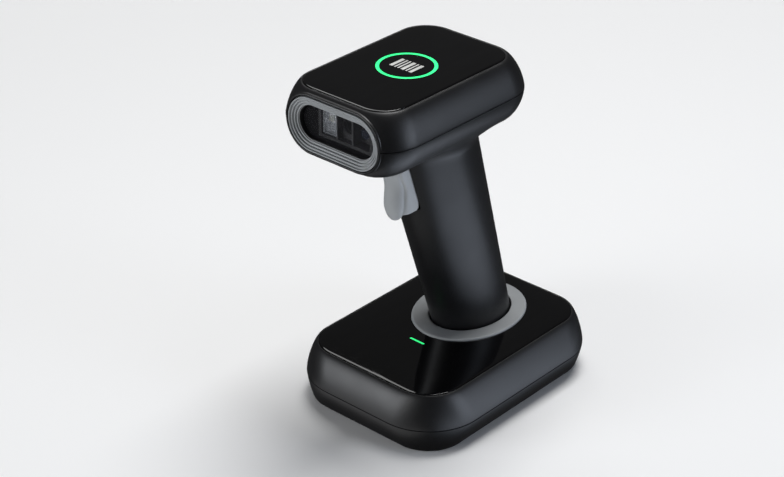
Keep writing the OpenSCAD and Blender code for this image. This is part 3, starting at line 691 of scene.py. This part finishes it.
def make_deck():
    plate = crowned_plate("cradle_deck", DECK, DECK_TOP - PLATE_T, DECK_TOP, crown=0.28, reach=11)
    under, over = DECK_TOP - 5, DECK_TOP + 5
    low, high = box_mm("socket_ring")
    half = (high - low) / 2 + 0.14
    hole = ellipse_bar("hole", half[0], half[1], middle_y("socket_ring") - CRADLE_Y, under, over)
    low, high = box_mm("cradle_light_pipe")
    half = (high - low) / 2 + 0.06
    outline = [half[0], half[1], half[1] * 0.96, middle_y("cradle_light_pipe") - CRADLE_Y]
    slot = loft("slot", [at_height(outline_2d(outline, 6, 2, 2), z) for z in (under, over)])
    boolean(plate, [hole, slot])
    return move(plate, (0, CRADLE_Y, 0))


def revolved(name, profile):
    t = np.linspace(0, TAU, 160, endpoint=False)
    rings = [np.column_stack([r * np.cos(t), r * np.sin(t), np.full(len(t), float(z))]) for r, z in profile]
    return loft(name, rings, closed=True)


HALO_R, HALO_BAND = 13.1, 1.5
ICON_LIFT = 0.04


def make_visor():
    top = HEAD_UP - ICON_LIFT
    plate = crowned_plate("head_visor", VISOR, HEAD_UP - PLATE_T, top, crown=0.12, reach=9)
    outer, inner = HALO_R + 0.05, HALO_R - HALO_BAND - 0.05
    low, high = top - 0.8, top + 2
    groove = revolved("groove", [(outer, low), (outer, high), (inner, high), (inner, low)])
    boolean(plate, [groove])
    return move(plate, HEAD)


def make_status_ring():
    top, low = HEAD_UP, HEAD_UP - 0.75
    outer, inner = HALO_R, HALO_R - HALO_BAND
    ring = revolved("status_light", [
        (outer, low), (outer, top - 0.12), (outer - 0.06, top - 0.03), (outer - 0.2, top),
        (inner + 0.2, top), (inner + 0.06, top - 0.03), (inner, top - 0.12), (inner, low),
    ])
    return move(ring, HEAD)


def make_icon():
    """White bars of a plain scan symbol in the middle of the status ring."""
    widths = (1.7, 0.8, 0.8, 1.7, 0.8, 1.7)
    gap, half_length = 0.95, 4.2
    x = -(sum(widths) + gap * (len(widths) - 1)) / 2
    bars = []
    for k, w in enumerate(widths):
        rings = []
        for inset, z in ((0, -0.3), (0, -0.02), (0.03, 0)):
            o = np.array([w / 2, half_length, 0.2, 0]) - [inset, inset, inset, 0]
            rings.append(at_height(outline_2d(o, 5, 2, 4), HEAD_UP + z) + [x + w / 2, 0, 0])
        bars.append(loft(f"bar_{k}", rings))
        x += w + gap
    icon = join(bars[0], bars[1:])
    icon.name = "scan_symbol"
    return move(icon, HEAD)


# ---------------------------------------------------------------- cradle


def make_cradle_upper():
    split, n = CRADLE_SPLIT, CRADLE_UP_N
    skip = side_start(CRADLE_RIM - split, n)
    outer = pillow(CRADLE_WIDE, grown(DECK, RIM_W), split, CRADLE_RIM, n, levels=34, skip=skip)
    under_plate = DECK_TOP - PLATE_T
    roof = under_plate - 2
    shelf = [
        at_height(outline_2d(grown(DECK, by)), z) for by, z in
        ((PLATE_GAP, under_plate), (-12, under_plate), (-12, roof))
    ]
    inner = pillow(grown(CRADLE_WIDE, -WALL), grown(DECK, 0.9), split, roof, n, levels=10)[::-1]
    inner[-1][:, 2] = split + SPLIT_GAP
    rings = [*parting_edge(CRADLE_WIDE, split, 1), *outer, *groove_side(DECK, CRADLE_RIM), *shelf, *inner]
    shell = loft("cradle_upper", rings, closed=True)
    return move(shell, (0, CRADLE_Y, 0))


def make_cradle_lower():
    low = box_mm("cradle_lower_shell")[0][2]
    split, n = CRADLE_SPLIT, CRADLE_LOW_N
    outer = pillow(CRADLE_WIDE, CRADLE_BASE, split, low, n, levels=34, skip=side_start(split - low, n))
    wide, base = grown(CRADLE_WIDE, -WALL), grown(CRADLE_BASE, -WALL)
    inner = pillow(wide, base, split, low + WALL, n, levels=10)[::-1]
    inner[-1][:, 2] = split - SPLIT_GAP
    flat = at_height(outline_2d(grown(CRADLE_BASE, -0.8)), low)
    shell = loft("cradle_lower", [*inner, *parting_edge(CRADLE_WIDE, split, -1), *outer, flat])
    cutters = []
    feet_low, feet_high = box_mm("rubber_feet")
    foot_r, pocket_r, pocket_depth = 6.5, 6.65, 0.7
    screw_x, screw_y, screw_r, screw_top = 30, 27, 3.1, 4.55
    for sx in (-1, 1):
        for sy in (-1, 1):
            x, y = sx * (feet_high[0] - foot_r), sy * ((feet_high[1] - feet_low[1]) / 2 - foot_r)
            cutters.append(cylinder("pocket", pocket_r, (x, y, low - 2), (x, y, low + pocket_depth), 72))
            x, y = sx * screw_x, sy * screw_y
            cutters.append(cylinder("well", screw_r, (x, y, low - 2), (x, y, screw_top)))
    port_half_w, port_half_h, port_z = 4.77, 1.93, 7.6
    cutters.append(move(stadium_bar("port", port_half_w, port_half_h, 50, 66), (0, 0, port_z)))
    boolean(shell, cutters)
    return move(shell, (0, CRADLE_Y, 0))


def make_socket_ring():
    """The grey collar: an upright oval outside, and inside it the mouth of the leaning socket."""
    low, high = box_mm("socket_ring")
    a, b = (high[0] - low[0]) / 2, (high[1] - low[1]) / 2
    middle = middle_y("socket_ring")
    t = np.linspace(0, TAU, 192, endpoint=False)

    def outer(inset, z):
        return at_height(np.column_stack([(a - inset) * np.cos(t), middle + (b - inset) * np.sin(t)]), z)

    def inner(out, z):
        half_w = grip_a(0) + WELL_GAP + out
        half_l = (grip_b(0) + WELL_GAP) / math.cos(LEAN) + out
        y = MOUTH[1] - (z - DECK_TOP) * math.tan(LEAN)
        return at_height(np.column_stack([half_w * np.cos(t), y + half_l * np.sin(t)]), z)

    top = high[2]
    edge, inner_edge = 0.85, 0.6
    rings = [outer(0, low[2]), outer(0, top - edge)]
    for q in np.radians([18, 36, 54, 72, 90]):
        rings.append(outer(edge * (1 - math.cos(q)), top - edge * (1 - math.sin(q))))
    rings += [outer(1.6, top), inner(0.7, top - 0.02)]
    for q in np.radians([22, 45, 68, 90]):
        rings.append(inner(inner_edge * (1 - math.sin(q)), top - inner_edge * (1 - math.cos(q))))
    rings += [inner(0, top - 1.6), inner(0, low[2])]
    return loft("socket_collar", rings, closed=True)


def bores(radius, places, low, high, sides=48):
    """Round bars along the handle's axis, from low to high, at places across it."""
    return [
        cylinder("bore", radius, in_handle((x, y, low)), in_handle((x, y, high)), sides) for x, y in places
    ]


def make_socket_cup():
    floor_w = -WELL_DEPTH - 0.05
    mouth_w = -PLATE_T / math.cos(LEAN)
    wall, floor_t, edge, pin_r = 1.6, 1.8, 1.2, 1.08

    def ring(w, extra, tilt=1.0):
        """A ring of the straight well, whose section doesn't change along the handle."""
        return handle_ring(w, WELL_GAP + extra, tilt, section=0)

    rings = [ring(floor_w, -edge - 0.2)]
    for q in np.radians([0, 22, 45, 68, 90]):
        rings.append(ring(floor_w + edge * (1 - math.cos(q)), -edge * (1 - math.sin(q))))
    rings += [ring(floor_w + (mouth_w - floor_w) * f, 0, 1 - f) for f in (0.5, 1)]
    rings += [ring(mouth_w, wall, 0), ring(floor_w - floor_t, wall)]
    cup = loft("socket_well", rings)
    boolean(cup, bores(pin_r, [(x, 0) for x in CONTACT_X], floor_w - 4, floor_w + 3, 40))
    return cup


def make_end_cap():
    low, high = -WELL_DEPTH, CAP_T - WELL_DEPTH
    edge = 0.9
    rings = [handle_ring(low, extra=-edge - 0.6)]
    for q in np.radians([0, 15, 30, 45, 60, 75, 90]):
        rings.append(handle_ring(low + edge * (1 - math.cos(q)), extra=-edge * (1 - math.sin(q))))
    rings += [handle_ring(high - drop, extra=-inset) for drop, inset in ((0.24, 0), (0.1, 0.06), (0.06, 0.2))]
    cap = loft("handle_foot", rings)
    boss_r, boss_h, head_r, head_depth, screw_r, contact_r = 3, 4.9, 2.5, 1.6, 1.3, 1.52
    boolean(cap, bores(boss_r, [(0, y) for y in CAP_SCREW_Y], high - 0.3, high + boss_h), "UNION")
    cutters = bores(contact_r, [(x, 0) for x in CONTACT_X], low - 2, low + 3.5)
    for y in CAP_SCREW_Y:
        cutters += bores(head_r, [(0, y)], low - 2, low + head_depth)
        cutters += bores(screw_r, [(0, y)], low + 1, low + 12, 32)
    boolean(cap, cutters)
    return cap


# ---------------------------------------------------------------- trigger


def curve_through(xs, ys, x):
    """A smooth curve through points, with Catmull-Rom slopes."""
    xs, ys = np.asarray(xs, float), np.asarray(ys, float)
    slopes = np.gradient(ys, xs)
    k = np.clip(np.searchsorted(xs, x) - 1, 0, len(xs) - 2)
    h = xs[k + 1] - xs[k]
    t = (x - xs[k]) / h
    return ((2 * t**3 - 3 * t**2 + 1) * ys[k] + (t**3 - 2 * t**2 + t) * h * slopes[k]
            + (-2 * t**3 + 3 * t**2) * ys[k + 1] + (t**3 - t**2) * h * slopes[k + 1])


# Heights from the tip up, in the head's frame, with the y of the pad's front, of its widest line and of the
# skirt's front at each
PAD_LEVELS = [-51, -49.5, -47, -43, -39, -35, -31, -22, -15]
PAD_FRONT = [-11.0, -11.2, -11.4, -11.2, -10.7, -11.0, -11.8, -12.8, -13.1]
PAD_MIDDLE = [-7.6, -7.7, -7.8, -7.5, -7.6, -8.9, -10.9, -11.4, -11.6]
SKIRT_FRONT = [-8.8, -8.4, -7.5, -6.9, -7.1, -8.4, -10.3, -10.8, -11.0]
LEVER_TOP, PAD_HALF, SKIRT_HALF = -16.5, 5.15, 6.7
TIP_Z, TIP_LENGTH, TIP_RISE = -47.6, 7.2, 0.9
SKIRT_END, SKIRT_EDGE, HEEL_R = -51.2, 0.9, 2.4
NECK_BACK, BARREL_R, PIN_BORE = -3.1, 3.2, 1.05
SWITCH_Z, NUB_Y, NUB_R, NUB_HALF, RIB_HALF = -34, 0.7, 1.5, 2.5, 1.2
SPRING_Z, SEAT_R, SEAT_Y = -43, 2.9, -0.1


def add_trigger_inside(lever):
    """Hollows the lever out and adds its barrel on the pin, the nub for the switch and the spring's seat."""
    low, high = box_mm("trigger_pin")
    _, py, pz = (low + high) / 2 - HEAD
    boolean(lever, [
        cuboid("hollow", (-4.9, -5, -48), (4.9, 10, -17)),
        cuboid("hollow", (-3.4, -9.5, -48), (3.4, 10, -17)),
    ])
    boolean(lever, [
        cuboid("neck", (-SKIRT_HALF, -9.5, -18), (SKIRT_HALF, NECK_BACK, pz)),
        cylinder("barrel", BARREL_R, (-SKIRT_HALF, py, pz), (SKIRT_HALF, py, pz)),
        cuboid("rib", (-RIB_HALF, -10, SWITCH_Z - 1), (RIB_HALF, NUB_Y, SWITCH_Z + 1)),
        cylinder("nub", NUB_R, (-NUB_HALF, NUB_Y, SWITCH_Z), (NUB_HALF, NUB_Y, SWITCH_Z), 32),
        cylinder("seat", SEAT_R, (0, -10, SPRING_Z), (0, SEAT_Y, SPRING_Z), 40),
    ], "UNION")
    boolean(lever, [cylinder("bore", PIN_BORE, (-20, py, pz), (20, py, pz))])


def pad_ring(z, scale=1.0, shift=0.0):
    """The finger pad's outline at z: round in front, closed behind inside the skirt."""
    t = np.linspace(0, TAU, 72, endpoint=False)
    level = max(z, PAD_LEVELS[0])
    front = curve_through(PAD_LEVELS, PAD_FRONT, level)
    widest = curve_through(PAD_LEVELS, PAD_MIDDLE, level) + shift
    sin = np.sin(t)
    reach = np.where(sin < 0, widest - front, 3.0)
    return at_height(np.column_stack([PAD_HALF * scale * np.cos(t), widest + reach * sin * scale]), z)


def skirt_ring(z, width_scale=1.0):
    """The skirt's outline at z: front corners that turn rounder towards the lower end, and a flat back."""
    front = float(curve_through(PAD_LEVELS, SKIRT_FRONT, max(z, PAD_LEVELS[0])))
    back = np.interp(z, [-51.4, -40, -27, -15], [1.0, 0.0, -1.6, -2.8])
    rise = max(0.0, SKIRT_END + HEEL_R - z)
    back -= HEEL_R - math.sqrt(max(0.0, HEEL_R**2 - rise**2))
    corner_x = np.interp(z, [SKIRT_END, -47.5, -43], [4.3, 2.3, 0.9])
    corner_y = np.interp(z, [SKIRT_END, -47.5, -43], [4.5, 3.1, 1.9])
    profile = [
        (SKIRT_HALF - corner_x * (1 - math.cos(a)), front + corner_y * (1 - math.sin(a)))
        for a in np.radians([90, 75, 60, 45, 30, 15, 0])
    ] + [(SKIRT_HALF, back)]
    right = [(x * width_scale, y) for x, y in profile]
    left = [(-x, y) for x, y in reversed(right)]
    return np.array([(x, y, z) for x, y in right + left])


def make_trigger():
    rings = [pad_ring(z) for z in np.linspace(LEVER_TOP, TIP_Z, 44)]
    for q in np.radians(np.linspace(6, 88, 16)):
        z = TIP_Z - TIP_LENGTH * math.sin(q)
        rings.append(pad_ring(z, math.cos(q) ** 0.9, -TIP_RISE * (1 - math.cos(q))))
    pad = loft("trigger_lever", rings, smooth_angle=60)
    rings = [skirt_ring(z) for z in (LEVER_TOP, -20, -24, -28, *np.linspace(-30, -50.3, 30))]
    for q in np.radians([30, 60, 90]):
        rings.append(skirt_ring(SKIRT_END + SKIRT_EDGE * (1 - math.sin(q)), 1 - 0.08 * (1 - math.cos(q))))
    skirt = loft("trigger_skirt", rings, smooth_angle=45)
    boolean(pad, [skirt], "UNION", angle=50)
    soft_remesh(pad, 0.26, 14)
    add_trigger_inside(pad)
    return move(pad, HEAD)


# ---------------------------------------------------------------- materials


def new_material(name):
    mat = bpy.data.materials.new(name)
    mat.use_nodes = True
    nodes, links = mat.node_tree.nodes, mat.node_tree.links
    return mat, nodes, links, nodes["Principled BSDF"]


def object_coordinates(nodes):
    return nodes.new("ShaderNodeTexCoord").outputs["Object"]


def stretched_coordinates(nodes, links, scale, turn=0.0):
    mapping = nodes.new("ShaderNodeMapping")
    mapping.inputs["Scale"].default_value = scale
    mapping.inputs["Rotation"].default_value = (0, 0, turn)
    links.new(object_coordinates(nodes), mapping.inputs["Vector"])
    return mapping.outputs["Vector"]


def noise(nodes, links, coords, scale, detail=2.0, rough=0.5):
    n = nodes.new("ShaderNodeTexNoise")
    n.inputs["Scale"].default_value = scale
    n.inputs["Detail"].default_value = detail
    n.inputs["Roughness"].default_value = rough
    links.new(coords, n.inputs["Vector"])
    return n.outputs["Fac"]


def remap(nodes, links, value, low, high, start=0.3, end=0.7, kind="LINEAR"):
    """Maps start..end onto low..high; the default start and end hold most of a noise."""
    m = nodes.new("ShaderNodeMapRange")
    m.interpolation_type = kind
    m.inputs["From Min"].default_value = start
    m.inputs["From Max"].default_value = end
    m.inputs["To Min"].default_value = low
    m.inputs["To Max"].default_value = high
    links.new(value, m.inputs["Value"])
    return m.outputs["Result"]


def mix_colors(nodes, links, value, dark, light):
    m = nodes.new("ShaderNodeValToRGB")
    m.color_ramp.elements[0].position = 0.3
    m.color_ramp.elements[1].position = 0.7
    m.color_ramp.elements[0].color = (*dark, 1)
    m.color_ramp.elements[1].color = (*light, 1)
    links.new(value, m.inputs["Fac"])
    return m.outputs["Color"]


def bump(nodes, links, height, strength, distance):
    b = nodes.new("ShaderNodeBump")
    b.inputs["Strength"].default_value = strength
    b.inputs["Distance"].default_value = distance
    links.new(height, b.inputs["Height"])
    return b.outputs["Normal"]


def moulded(name, dark, light, rough, grain_mm=0.22, grain=0.25, specular=0.5, cloud_mm=14):
    """Moulded plastic: fine spark-eroded grain, slow changes of tone and of gloss."""
    mat, nodes, links, shader = new_material(name)
    coords = object_coordinates(nodes)
    cloud = noise(nodes, links, coords, 1 / (cloud_mm * MM), 3)
    links.new(mix_colors(nodes, links, cloud, dark, light), shader.inputs["Base Color"])
    links.new(remap(nodes, links, cloud, rough[0], rough[1]), shader.inputs["Roughness"])
    fine = noise(nodes, links, coords, 1 / (grain_mm * MM), 2, 0.6)
    links.new(bump(nodes, links, fine, grain, 0.00004), shader.inputs["Normal"])
    shader.inputs["Specular IOR Level"].default_value = specular
    return mat


def gloss(name, colour, rough=(0.03, 0.07), coat=0.5):
    """Polished plastic with faint wipe marks in its gloss."""
    mat, nodes, links, shader = new_material(name)
    wipes = noise(nodes, links, stretched_coordinates(nodes, links, (1, 0.22, 1), 0.6), 220, 5, 0.6)
    lighter = tuple(c * 1.35 + 0.0006 for c in colour)
    links.new(mix_colors(nodes, links, wipes, colour, lighter), shader.inputs["Base Color"])
    links.new(remap(nodes, links, wipes, rough[0], rough[1]), shader.inputs["Roughness"])
    wave = noise(nodes, links, object_coordinates(nodes), 45, 1)
    links.new(bump(nodes, links, wave, 0.05, 0.0002), shader.inputs["Normal"])
    shader.inputs["Coat Weight"].default_value = coat
    shader.inputs["Coat Roughness"].default_value = 0.03
    return mat


def metal(name, dark, light, rough=(0.22, 0.38), brushed=(1, 1, 12)):
    """Metal with a fine grain, drawn out along the axes whose brushed scale is low."""
    mat, nodes, links, shader = new_material(name)
    grain = noise(nodes, links, stretched_coordinates(nodes, links, brushed), 900, 4, 0.6)
    links.new(mix_colors(nodes, links, grain, dark, light), shader.inputs["Base Color"])
    links.new(remap(nodes, links, grain, rough[0], rough[1]), shader.inputs["Roughness"])
    links.new(bump(nodes, links, grain, 0.15, 0.00002), shader.inputs["Normal"])
    shader.inputs["Metallic"].default_value = 1.0
    return mat


def light_material(name, colour, strength):
    """Translucent plastic lit from behind, its glow a little brighter in random patches."""
    mat, nodes, links, shader = new_material(name)
    coords = object_coordinates(nodes)
    glow = noise(nodes, links, coords, 160, 1)
    bright = tuple(min(1, c * 1.15 + 0.01) for c in colour)
    tint = mix_colors(nodes, links, glow, colour, bright)
    links.new(tint, shader.inputs["Base Color"])
    links.new(tint, shader.inputs["Emission Color"])
    shader.inputs["Emission Strength"].default_value = strength
    shader.inputs["Roughness"].default_value = 0.35
    return mat


def clear(name, colour, alpha, rough=0.04):
    mat, nodes, links, shader = new_material(name)
    coords = object_coordinates(nodes)
    haze = noise(nodes, links, coords, 300, 3)
    lighter = tuple(min(1, c * 1.1) for c in colour)
    links.new(mix_colors(nodes, links, haze, colour, lighter), shader.inputs["Base Color"])
    links.new(remap(nodes, links, haze, rough, rough + 0.04), shader.inputs["Roughness"])
    shader.inputs["Alpha"].default_value = alpha
    shader.inputs["IOR"].default_value = 1.49
    return mat


def solder_mask(name):
    """Circuit board lacquer with copper tracks showing faintly through it."""
    mat, nodes, links, shader = new_material(name)
    coords = object_coordinates(nodes)
    tracks = nodes.new("ShaderNodeTexBrick")
    tracks.inputs["Scale"].default_value = 420
    tracks.inputs["Mortar Size"].default_value = 0.08
    tracks.inputs["Color1"].default_value = (0.008, 0.09, 0.035, 1)
    tracks.inputs["Color2"].default_value = (0.010, 0.11, 0.045, 1)
    tracks.inputs["Mortar"].default_value = (0.02, 0.2, 0.08, 1)
    links.new(coords, tracks.inputs["Vector"])
    links.new(tracks.outputs["Color"], shader.inputs["Base Color"])
    links.new(remap(nodes, links, noise(nodes, links, coords, 500), 0.2, 0.35), shader.inputs["Roughness"])
    links.new(bump(nodes, links, tracks.outputs["Fac"], 0.3, 0.00003), shader.inputs["Normal"])
    return mat


BLACK, DEEP_GREY = (0.0026, 0.0026, 0.0032), (0.0034, 0.0034, 0.0042)
MATERIALS = {
    "scanner_shell": moulded("satin_black", BLACK, DEEP_GREY, (0.4, 0.45)),
    "cradle_shell": moulded("satin_black_cradle", BLACK, DEEP_GREY, (0.4, 0.45)),
    "gloss_plate": gloss("gloss_black", (0.0012, 0.0012, 0.0015)),
    "grey_trim": moulded(
        "moulded_grey", (0.255, 0.266, 0.273), (0.285, 0.297, 0.305), (0.42, 0.5), 0.3, 0.35,
    ),
    "green_light": light_material("lit_green", (0.02, 0.78, 0.2), 1.0),
    "led": moulded("led_phosphor", (0.5, 0.48, 0.3), (0.6, 0.58, 0.36), (0.3, 0.4), 0.3, 0.1),
    "circuit_board": solder_mask("board_lacquer"),
    "screw_steel": metal("black_zinc_steel", (0.16, 0.16, 0.17), (0.24, 0.24, 0.25)),
    "port_steel": metal("stamped_steel", (0.5, 0.5, 0.51), (0.62, 0.62, 0.63), (0.18, 0.3)),
    "spring_steel": metal("wire_steel", (0.5, 0.5, 0.52), (0.62, 0.62, 0.64), (0.2, 0.3)),
    "ballast_iron": metal("plain_iron", (0.12, 0.12, 0.12), (0.2, 0.19, 0.18), (0.5, 0.7), (1, 1, 1)),
    "black_insulator": moulded(
        "glass_filled_black", (0.012, 0.012, 0.013), (0.02, 0.02, 0.021), (0.45, 0.6), 0.4, 0.5,
    ),
    "gold_contact": metal("gold_plate", (0.78, 0.53, 0.2), (0.9, 0.66, 0.3), (0.15, 0.25), (1, 1, 1)),
    "foot_rubber": moulded(
        "foot_rubber", (0.012, 0.012, 0.012), (0.02, 0.02, 0.02), (0.75, 0.9), 0.5, 0.6, 0.3,
    ),
    "clear_plastic": clear("clear_plastic", (0.55, 0.58, 0.62), 0.35, 0.06),
    "window_plastic": clear("window_plastic", (0.05, 0.05, 0.055), 0.12, 0.03),
    "sensor_glass": gloss("sensor_glass", (0.01, 0.012, 0.02)),
    "lens_glass": clear("lens_glass", (0.02, 0.025, 0.04), 0.6, 0.02),
    "white_plunger": moulded("white_acetal", (0.6, 0.6, 0.58), (0.66, 0.66, 0.64), (0.4, 0.5)),
    "battery_wrap": gloss("battery_sleeve", (0.02, 0.07, 0.25), (0.25, 0.35), 0.2),
}
SLOT_OF = {s["node"]: s["material_slot"] for s in frame["record"]["subparts"]}


def dress(obj, slot_name):
    obj.data.materials.clear()
    obj.data.materials.append(MATERIALS[slot_name])


for node_name, node_obj in frame["nodes"].items():
    dress(node_obj, SLOT_OF[node_name])


def soften(node_name, width_mm, angle=35):
    """Joins a CAD node's faces and rounds its sharp edges a little, as moulding and plating leave them."""
    obj = frame["nodes"][node_name]
    weld = obj.modifiers.new("weld", "WELD")
    weld.merge_threshold = 1e-6
    bevel = obj.modifiers.new("bevel", "BEVEL")
    bevel.width = width_mm * MM
    bevel.segments = 2
    bevel.limit_method = "ANGLE"
    bevel.angle_limit = math.radians(angle)
    bevel.harden_normals = True


def place(obj, body, *nodes, slot=None):
    slot = slot or SLOT_OF[nodes[0]]
    dress(obj, slot)
    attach(obj, body)
    if nodes:
        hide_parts(*nodes)
    return obj


place(make_cradle_upper(), "cradle", "cradle_upper_shell")
place(make_cradle_lower(), "cradle", "cradle_lower_shell")
place(make_deck(), "cradle", "cradle_top_plate")
place(make_socket_ring(), "cradle", "socket_ring")
place(make_socket_cup(), "cradle", "socket_cup")
place(make_head_shell(), "scanner", "head_upper_shell")
place(make_housing(), "scanner", "scanner_housing")
place(make_visor(), "scanner", "head_top_plate")
place(make_status_ring(), "scanner", "status_ring")
place(make_bezel(), "scanner", "window_bezel")
# A black collar as painted shade deep inside the window opening
place(make_shade_collar(), "scanner", slot="black_insulator")
place(make_lamp_lens(), "scanner", "illumination_lens")
place(make_end_cap(), "scanner", "handle_end_cap")
place(make_trigger(), "trigger", "trigger")
place(make_icon(), "scanner", slot="white_plunger")

for node_name, width in (
    ("rubber_feet", 0.4), ("cradle_screws", 0.12), ("usb_c_receptacle", 0.08), ("cradle_light_pipe", 0.1),
    ("engine_chassis", 0.2), ("charging_contacts", 0.12), ("end_cap_screws", 0.12),
    ("scan_window", 0.2), ("contact_pin_block", 0.2),
):
    soften(node_name, width)


# ---------------------------------------------------------------- studio


def make_floor():
    bm = bmesh.new()
    bmesh.ops.create_grid(bm, x_segments=2, y_segments=2, size=4.0)
    mesh = bpy.data.meshes.new("floor")
    bm.to_mesh(mesh)
    bm.free()
    floor = bpy.data.objects.new("floor", mesh)
    bpy.context.collection.objects.link(floor)
    mat, nodes, links, shader = new_material("floor_pale")
    shader.inputs["Base Color"].default_value = (0.9, 0.9, 0.9, 1)
    shader.inputs["Roughness"].default_value = 0.9
    shader.inputs["Specular IOR Level"].default_value = 0.1
    # The panels only reach the middle of the floor, so the far floor glows a little to stay as pale
    distance = nodes.new("ShaderNodeVectorMath")
    distance.operation = "LENGTH"
    links.new(object_coordinates(nodes), distance.inputs[0])
    glow = remap(nodes, links, distance.outputs["Value"], 0, 0.8, 0.3, 1.9, "SMOOTHSTEP")
    links.new(glow, shader.inputs["Emission Strength"])
    shader.inputs["Emission Color"].default_value = (1, 1, 1, 1)
    mesh.materials.append(mat)
    floor.visible_glossy = False


def area_light(name, location, facing, size, power, colour):
    data = bpy.data.lights.new(name, "AREA")
    data.shape = "RECTANGLE"
    data.size, data.size_y = size
    data.energy = power
    data.color = colour
    light = bpy.data.objects.new(name, data)
    light.location = location
    light.rotation_euler = (-Vector(facing)).to_track_quat("Z", "Y").to_euler()
    light.visible_camera = False
    bpy.context.collection.objects.link(light)


def outward(azimuth, elevation):
    """The direction away from the object; azimuth runs from the front (-Y) towards +X, in degrees."""
    a, e = math.radians(azimuth), math.radians(elevation)
    return Vector((math.sin(a) * math.cos(e), -math.cos(a) * math.cos(e), math.sin(e)))


def softbox(name, azimuth, elevation, size, power, colour=(1, 1, 1)):
    """A square panel aimed at the middle of the object."""
    out = outward(azimuth, elevation)
    area_light(name, OBJECT_MIDDLE + out * PANEL_DISTANCE, -out, (size, size), power, colour)


COOL = (0.78, 0.86, 1)
UP = (0, 0, 1)
OBJECT_MIDDLE = Vector((0, -0.02, 0.09))
PANEL_DISTANCE = 1.2


def make_studio():
    make_floor()
    softbox("low_left", 330, 7, 0.5, 6.8, (0.93, 0.96, 1))
    softbox("front", 352, 12, 0.5, 1.6)
    softbox("low_right", 113, 6, 0.6, 6.4, COOL)
    softbox("top", 180, 76, 0.6, 12.5)
    softbox("back_left", 240, 48, 0.5, 1.6)
    area_light("side_card", (0.13, 0.03, 0.002), UP, (0.12, 0.2), 0.14, COOL)
    area_light("side_strip", (0.07, 0.006, 0.001), UP, (0.04, 0.13), 0.013, COOL)
    area_light("front_strip", (0, -0.078, 0.001), UP, (0.1, 0.04), 0.008, (1, 1, 1))
    world = bpy.data.worlds.new("studio")
    bpy.context.scene.world = world
    world.use_nodes = True
    nodes, links = world.node_tree.nodes, world.node_tree.links
    background = nodes["Background"]
    background.inputs["Color"].default_value = (1, 1, 1, 1)
    # Full white behind the object for the camera, and a weak fill for everything else
    path = nodes.new("ShaderNodeLightPath")
    strength = remap(nodes, links, path.outputs["Is Camera Ray"], 0.055, 1, 0, 1)
    links.new(strength, background.inputs["Strength"])


def make_camera():
    back = outward(41.92, 29.1)
    distance = 0.9002
    target = Vector((0, (CRADLE_Y - 37.4) * MM, 0.0884))
    data = bpy.data.cameras.new("camera")
    data.sensor_width = 36
    data.lens = 95.66
    data.clip_start = 0.01
    camera = bpy.data.objects.new("camera", data)
    camera.location = target + back * distance
    camera.rotation_euler = back.to_track_quat("Z", "Y").to_euler()
    bpy.context.collection.objects.link(camera)
    bpy.context.scene.camera = camera


make_studio()
make_camera()
bpy.context.scene.view_settings.view_transform = "Standard"
